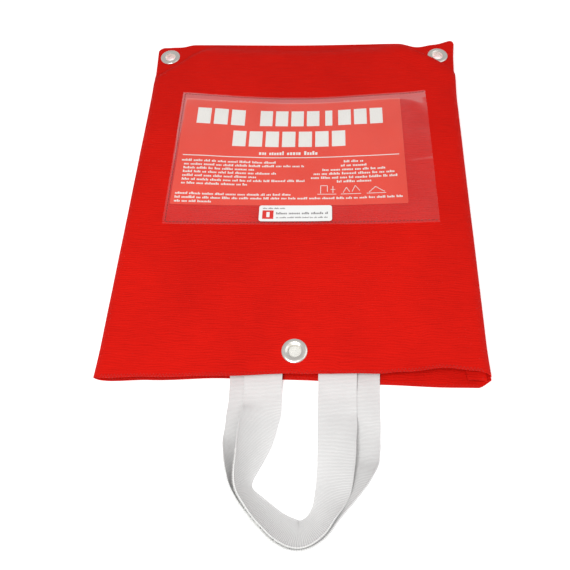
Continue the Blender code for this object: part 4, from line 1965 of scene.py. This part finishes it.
@dataclass
class PullTape:
    """A loop of webbing sewn into the blanket at both ends."""

    name: str
    body: Body
    route: tuple[tuple[float, float, float], ...]
    on_top: float = 0.0
    worn: tuple[int, int] = (78, 150)
    width: float = 0.030
    thickness: float = 0.0010
    hinge: float = 0.014
    sewn: float = 0.024
    setback: float = 0.013
    pitch: float = 0.0013
    rest: float = 0.0002
    bend: float = 0.005
    held_steps: int = 34
    easing_steps: int = 20
    wave: float = 0.0011
    edge_wander: float = 0.0005
    cup: float = 0.0012
    fibres: int = 9

    def __post_init__(self) -> None:
        """Reads the height of the sewn ends from the frame."""
        low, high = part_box(f"{self.name}_tape_left_end")
        self.layer = high.z - 0.0006

    def flat_height(self) -> float:
        """Height of the tape's middle where it comes down to the surface."""
        return self.rest + self.thickness / 2 + 0.0001 + self.on_top

    def entry(self, x: float) -> list[Vector]:
        """(x, distance out, height) from inside the blanket to the hinge line.

        Args:
            x: Where the tape's middle line runs.

        Returns:
            The points.
        """
        found = [Vector((x, -self.setback - self.sewn * (1 - share), self.layer))
                 for share in spread(0, 1, 6)]
        drop = self.layer - self.flat_height()
        run = self.hinge + self.setback
        for share in spread(0, 1, 14)[1:-1]:
            height = self.layer - drop * swell(share)
            found.append(Vector((x, -self.setback + run * share, height)))
        return found

    def loop(self) -> list[tuple[Vector, float]]:
        """Points ((x, out, height), lean) along the loop, between its own chosen points.

        Returns:
            The points, with the lean in radians.
        """
        knots = [Vector(knot) for knot in (self.route[0], *self.route, self.route[-1])]
        found = []
        for before, start, end, after in zip(knots, knots[1:], knots[2:], knots[3:]):
            for t in spread(0, 1, 6)[:-1]:
                found.append(0.5 * (2 * start + (end - before) * t
                                    + (2 * before - 5 * start + 4 * end - after) * t ** 2
                                    + (3 * start - before - 3 * end + after) * t ** 3))
        found.append(knots[-1])
        points = []
        for x, out, lean in found:
            tip = math.radians(max(lean, 0.0))
            height = self.rest + 0.0001 + (math.sin(tip) * self.width
                                           + math.cos(tip) * self.thickness) / 2
            points.append((Vector((x, out, height + math.cos(tip) * self.on_top)), tip))
        return points

    def line(self) -> tuple[list[Vector], list[float]]:
        """Evenly spaced points along the whole tape, and the lean at each.

        Returns:
            The points and the leans.
        """
        left = [(point, 0.0) for point in self.entry(self.route[0][0])]
        right = [(point, 0.0) for point in self.entry(self.route[-1][0])]
        rough = left + self.loop() + right[::-1]
        points, leans = [rough[0][0]], [0.0]
        left_over = self.pitch
        for (start, lean0), (end, lean1) in zip(rough, rough[1:]):
            run = (end - start).length
            while run > 0 and left_over <= run:
                share = left_over / run
                points.append(start.lerp(end, share))
                leans.append(lean0 + (lean1 - lean0) * share)
                left_over += self.pitch
            left_over -= run
        return points, leans

    def fray(self, line: Sequence[Vector]) -> None:
        """Adds loose fibres along the outer edge of the loop's far part.

        Args:
            line: The tape's outer edge.
        """
        made = Fray(line, *self.worn, self.fibres, seed=len(line)).build(f"{self.name}_tape_fray")
        finished(made, WHITE_THREAD, self.body, Slot.WEBBING)

    def surface(self, places: Sequence[Vector], leans: Sequence[float], across: float,
                step: int) -> Vector:
        """A point of the tape's middle surface, with its waves and uneven edges.

        Args:
            places: The tape's middle line.
            leans: The lean at each of its points.
            across: From the middle line.
            step: Which point of the line.

        Returns:
            The point.
        """
        ahead = places[min(step + 2, len(places) - 1)]
        behind = places[max(step - 2, 0)]
        run = (ahead - behind).normalized()
        outward = Vector((run.y, -run.x, 0)).normalized()
        tip = leans[step]
        side = outward * math.cos(tip) + Vector((0, 0, 1)) * math.sin(tip)
        up = side.cross(run).normalized()
        share = across / (self.width / 2)
        spot = (places[step] + side * across) * 24
        wave = uneven(spot.x, spot.y, 0.7, self.wave)
        edge = uneven(step * 0.11, math.copysign(3, share), 0.0 if self.on_top else 2.0,
                      self.edge_wander)
        free = (swell((step - self.held_steps) / self.easing_steps)
                * swell((len(places) - self.held_steps - step) / self.easing_steps))
        cup = self.cup * (share ** 2 - 0.4) * math.sin(tip)
        lift = (wave + 0.0001) * free * (0.15 + math.sin(tip)) + cup
        return places[step] + side * (across + edge * share * free) + up * lift

    def build(self) -> None:
        """Makes the tape, which comes down from the blanket to lie flat from the hinge line on.
        """
        points, leans = self.line()
        places = [Vector((p.x, MOUTH_Y - p.y, p.z)) for p in points]

        def place(across: float, step: int) -> Vector:
            """A point of this tape's surface.

            Args:
                across: From the middle line.
                step: Which point of the line.

            Returns:
                The point.
            """
            return self.surface(places, leans, across, step)

        across = spread(-self.width / 2, self.width / 2, 16)
        made = woven_grid(f"{self.name}_pull_webbing", across, range(len(places)), place)
        for loop in made.data.uv_layers["cloth"].data:
            loop.uv = (loop.uv.x, loop.uv.y * self.pitch)
        edge_line = [place(self.width / 2, index) for index in range(len(places))]
        thicken(made, self.thickness, CENTRED)
        smooth(made, degrees=50.0)
        self.fray(edge_line)
        WARDROBE.dress(made, WEBBING)
        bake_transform(made)
        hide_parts(f"{self.name}_pull_tape", f"{self.name}_tape_left_end",
                    f"{self.name}_tape_right_end")
        LOG.info("%s: %.3f m of webbing", made.name, len(places) * self.pitch)


@dataclass
class Fray:
    """Short loose ends of weft along a worn edge of webbing."""

    line: Sequence[Vector]
    start: int
    end: int
    per_step: int
    seed: int
    thickness: float = 0.00019
    root: float = 0.0003
    shortest: float = 0.0007
    plain: float = 0.0012
    longer: float = 0.0018

    def build(self, name: str) -> bpy.types.Object:
        """Sets thin bent fibres along the edge.

        Args:
            name: The piece's name.

        Returns:
            The fibres.
        """
        chance = random.Random(self.seed)
        places = []
        for index in range(self.start, self.end):
            here = self.line[index]
            run = (self.line[index + 1] - here).normalized()
            out = Vector((run.y, -run.x, 0)).normalized()
            worn = bell(index - (self.start + self.end) / 2, (self.end - self.start) / 2)
            for _ in range(self.per_step):
                way = out + run * chance.uniform(-0.7, 0.7)
                way.z = chance.uniform(-0.15, 0.45)
                way.normalize()
                length = chance.uniform(self.shortest, self.plain + self.longer * worn)
                root = here.lerp(self.line[index + 1], chance.random())
                places.append(self.fibre(root, way, length, way.cross(run).normalized()))
        return stamp(name, small_block(), places)

    def fibre(self, root: Vector, way: Vector, length: float,
              up: Vector) -> Callable[[Vector], Vector]:
        """One fibre: thin, square in section and narrower at its tip.

        Args:
            root: Where it leaves the webbing.
            way: Its direction.
            length: In metres.
            up: Square to it.

        Returns:
            What turns a point of a small block into its place.
        """
        across = way.cross(up).normalized()

        def place(point: Vector) -> Vector:
            """A point of the block on the fibre.

            Args:
                point: In a cube of size 1.

            Returns:
                Its place.
            """
            thick = self.thickness * (1.1 - 0.6 * (point.x + 0.5))
            along = way * ((point.x + 0.5) * length - self.root)
            return root + along + across * (point.y * thick) + up * (point.z * thick)

        return place


# (x, distance out of the mouth, lean in degrees) along each loop's middle line
OUTER_ROUTE = (
    (-0.0310, 0.0140, 0), (-0.0310, 0.0200, 0), (-0.0312, 0.0260, 2), (-0.0315, 0.0380, 10),
    (-0.0318, 0.0520, 22), (-0.0325, 0.0650, 45), (-0.0328, 0.0740, 60), (-0.0308, 0.0835, 66),
    (-0.0240, 0.0925, 64), (-0.0171, 0.0990, 61), (-0.0076, 0.1064, 55), (0.0023, 0.1128, 49),
    (0.0130, 0.1156, 48), (0.0239, 0.1110, 52), (0.0309, 0.1022, 53), (0.0372, 0.0942, 53),
    (0.0443, 0.0858, 52), (0.0505, 0.0772, 48), (0.0535, 0.0695, 38), (0.0552, 0.0600, 18),
    (0.0562, 0.0450, 5), (0.0569, 0.0330, 0), (0.0570, 0.0260, 0), (0.0570, 0.0200, 0),
    (0.0570, 0.0140, 0))
INNER_ROUTE = (
    (-0.0192, 0.0140, 0), (-0.0190, 0.0200, 2), (-0.0191, 0.0260, 8), (-0.0202, 0.0350, 17),
    (-0.0226, 0.0500, 36), (-0.0258, 0.0645, 56), (-0.0285, 0.0775, 69), (-0.0265, 0.0866, 69),
    (-0.0160, 0.0972, 60), (-0.0065, 0.1050, 55), (0.0034, 0.1112, 49), (0.0130, 0.1138, 48),
    (0.0226, 0.1092, 52), (0.0302, 0.0985, 52), (0.0360, 0.0840, 34), (0.0383, 0.0660, 26),
    (0.0388, 0.0480, 18), (0.0390, 0.0340, 6), (0.0390, 0.0260, 0), (0.0390, 0.0200, 0),
    (0.0390, 0.0140, 0))


# Stage

@dataclass
class Studio:
    """A pale floor, soft light from above and the camera over the mouth."""

    camera_place: tuple[float, float, float] = (0.0266, -0.2787, 0.4556)
    camera_turn: tuple[float, float, float] = (28.13, 2.74, 2.62)
    lens: float = 37.89
    sky: float = 0.42
    floor_glow: float = 0.35
    floor_size: float = 6.0
    floor_drop: float = 0.0003

    def floor(self) -> None:
        """A wide matt floor just under the object."""
        deselect()
        bpy.ops.mesh.primitive_plane_add(size=self.floor_size,
                                         location=(0, 0, -self.floor_drop))
        made = settle(bpy.context.object)
        made.name = "floor"
        paint = Paint("floor")
        paint.set(Base_Color=(0.93, 0.93, 0.93, 1), Roughness=0.9, Specular_IOR_Level=0.1,
                  Emission_Color=(1, 1, 1, 1), Emission_Strength=self.floor_glow)
        made.data.materials.append(paint.material)

    def lamp(self, name: str, place: tuple[float, float, float], size: float,
             watts: float) -> None:
        """A square soft light aimed at the object.

        Args:
            name: The light's name.
            place: Where it stands.
            size: Its side in metres.
            watts: Its power.
        """
        light = bpy.data.lights.new(name, "AREA")
        light.size = size
        light.energy = watts
        made = bpy.data.objects.new(name, light)
        made.location = place
        made.rotation_euler = (-Vector(place)).to_track_quat("-Z", "Y").to_euler()
        bpy.context.scene.collection.objects.link(made)

    def build(self) -> None:
        """Makes the floor, the lights, the sky and the camera."""
        self.floor()
        self.lamp("key", (-0.14, -0.40, 0.86), 0.32, 6.6)
        self.lamp("fill", (0.85, 0.15, 1.00), 1.0, 2.5)
        world = bpy.data.worlds.new("studio")
        world.use_nodes = True
        sky = world.node_tree.nodes["Background"]
        sky.inputs["Color"].default_value = (1.0, 1.0, 1.0, 1.0)
        sky.inputs["Strength"].default_value = self.sky
        bpy.context.scene.world = world
        bpy.context.scene.view_settings.view_transform = "Standard"
        camera = bpy.data.cameras.new("camera")
        camera.lens = self.lens
        camera.sensor_width = 36.0
        camera.clip_start = 0.01
        made = bpy.data.objects.new("camera", camera)
        made.location = self.camera_place
        made.rotation_euler = Euler([math.radians(turn) for turn in self.camera_turn], "XYZ")
        bpy.context.scene.collection.objects.link(made)
        bpy.context.scene.camera = made


def main() -> None:
    """Builds the looks in order."""
    logging.basicConfig(level=logging.INFO, format="%(message)s")
    Studio().build()
    pouch = Pouch()
    pouch.build()
    Label(pouch).build()
    FoldedBlanket(pouch).build()
    PullTape("outer", Body.OUTER_TAPE, OUTER_ROUTE).build()
    PullTape("inner", Body.INNER_TAPE, INNER_ROUTE, on_top=0.0015).build()


if __name__ == "__main__":
    main()
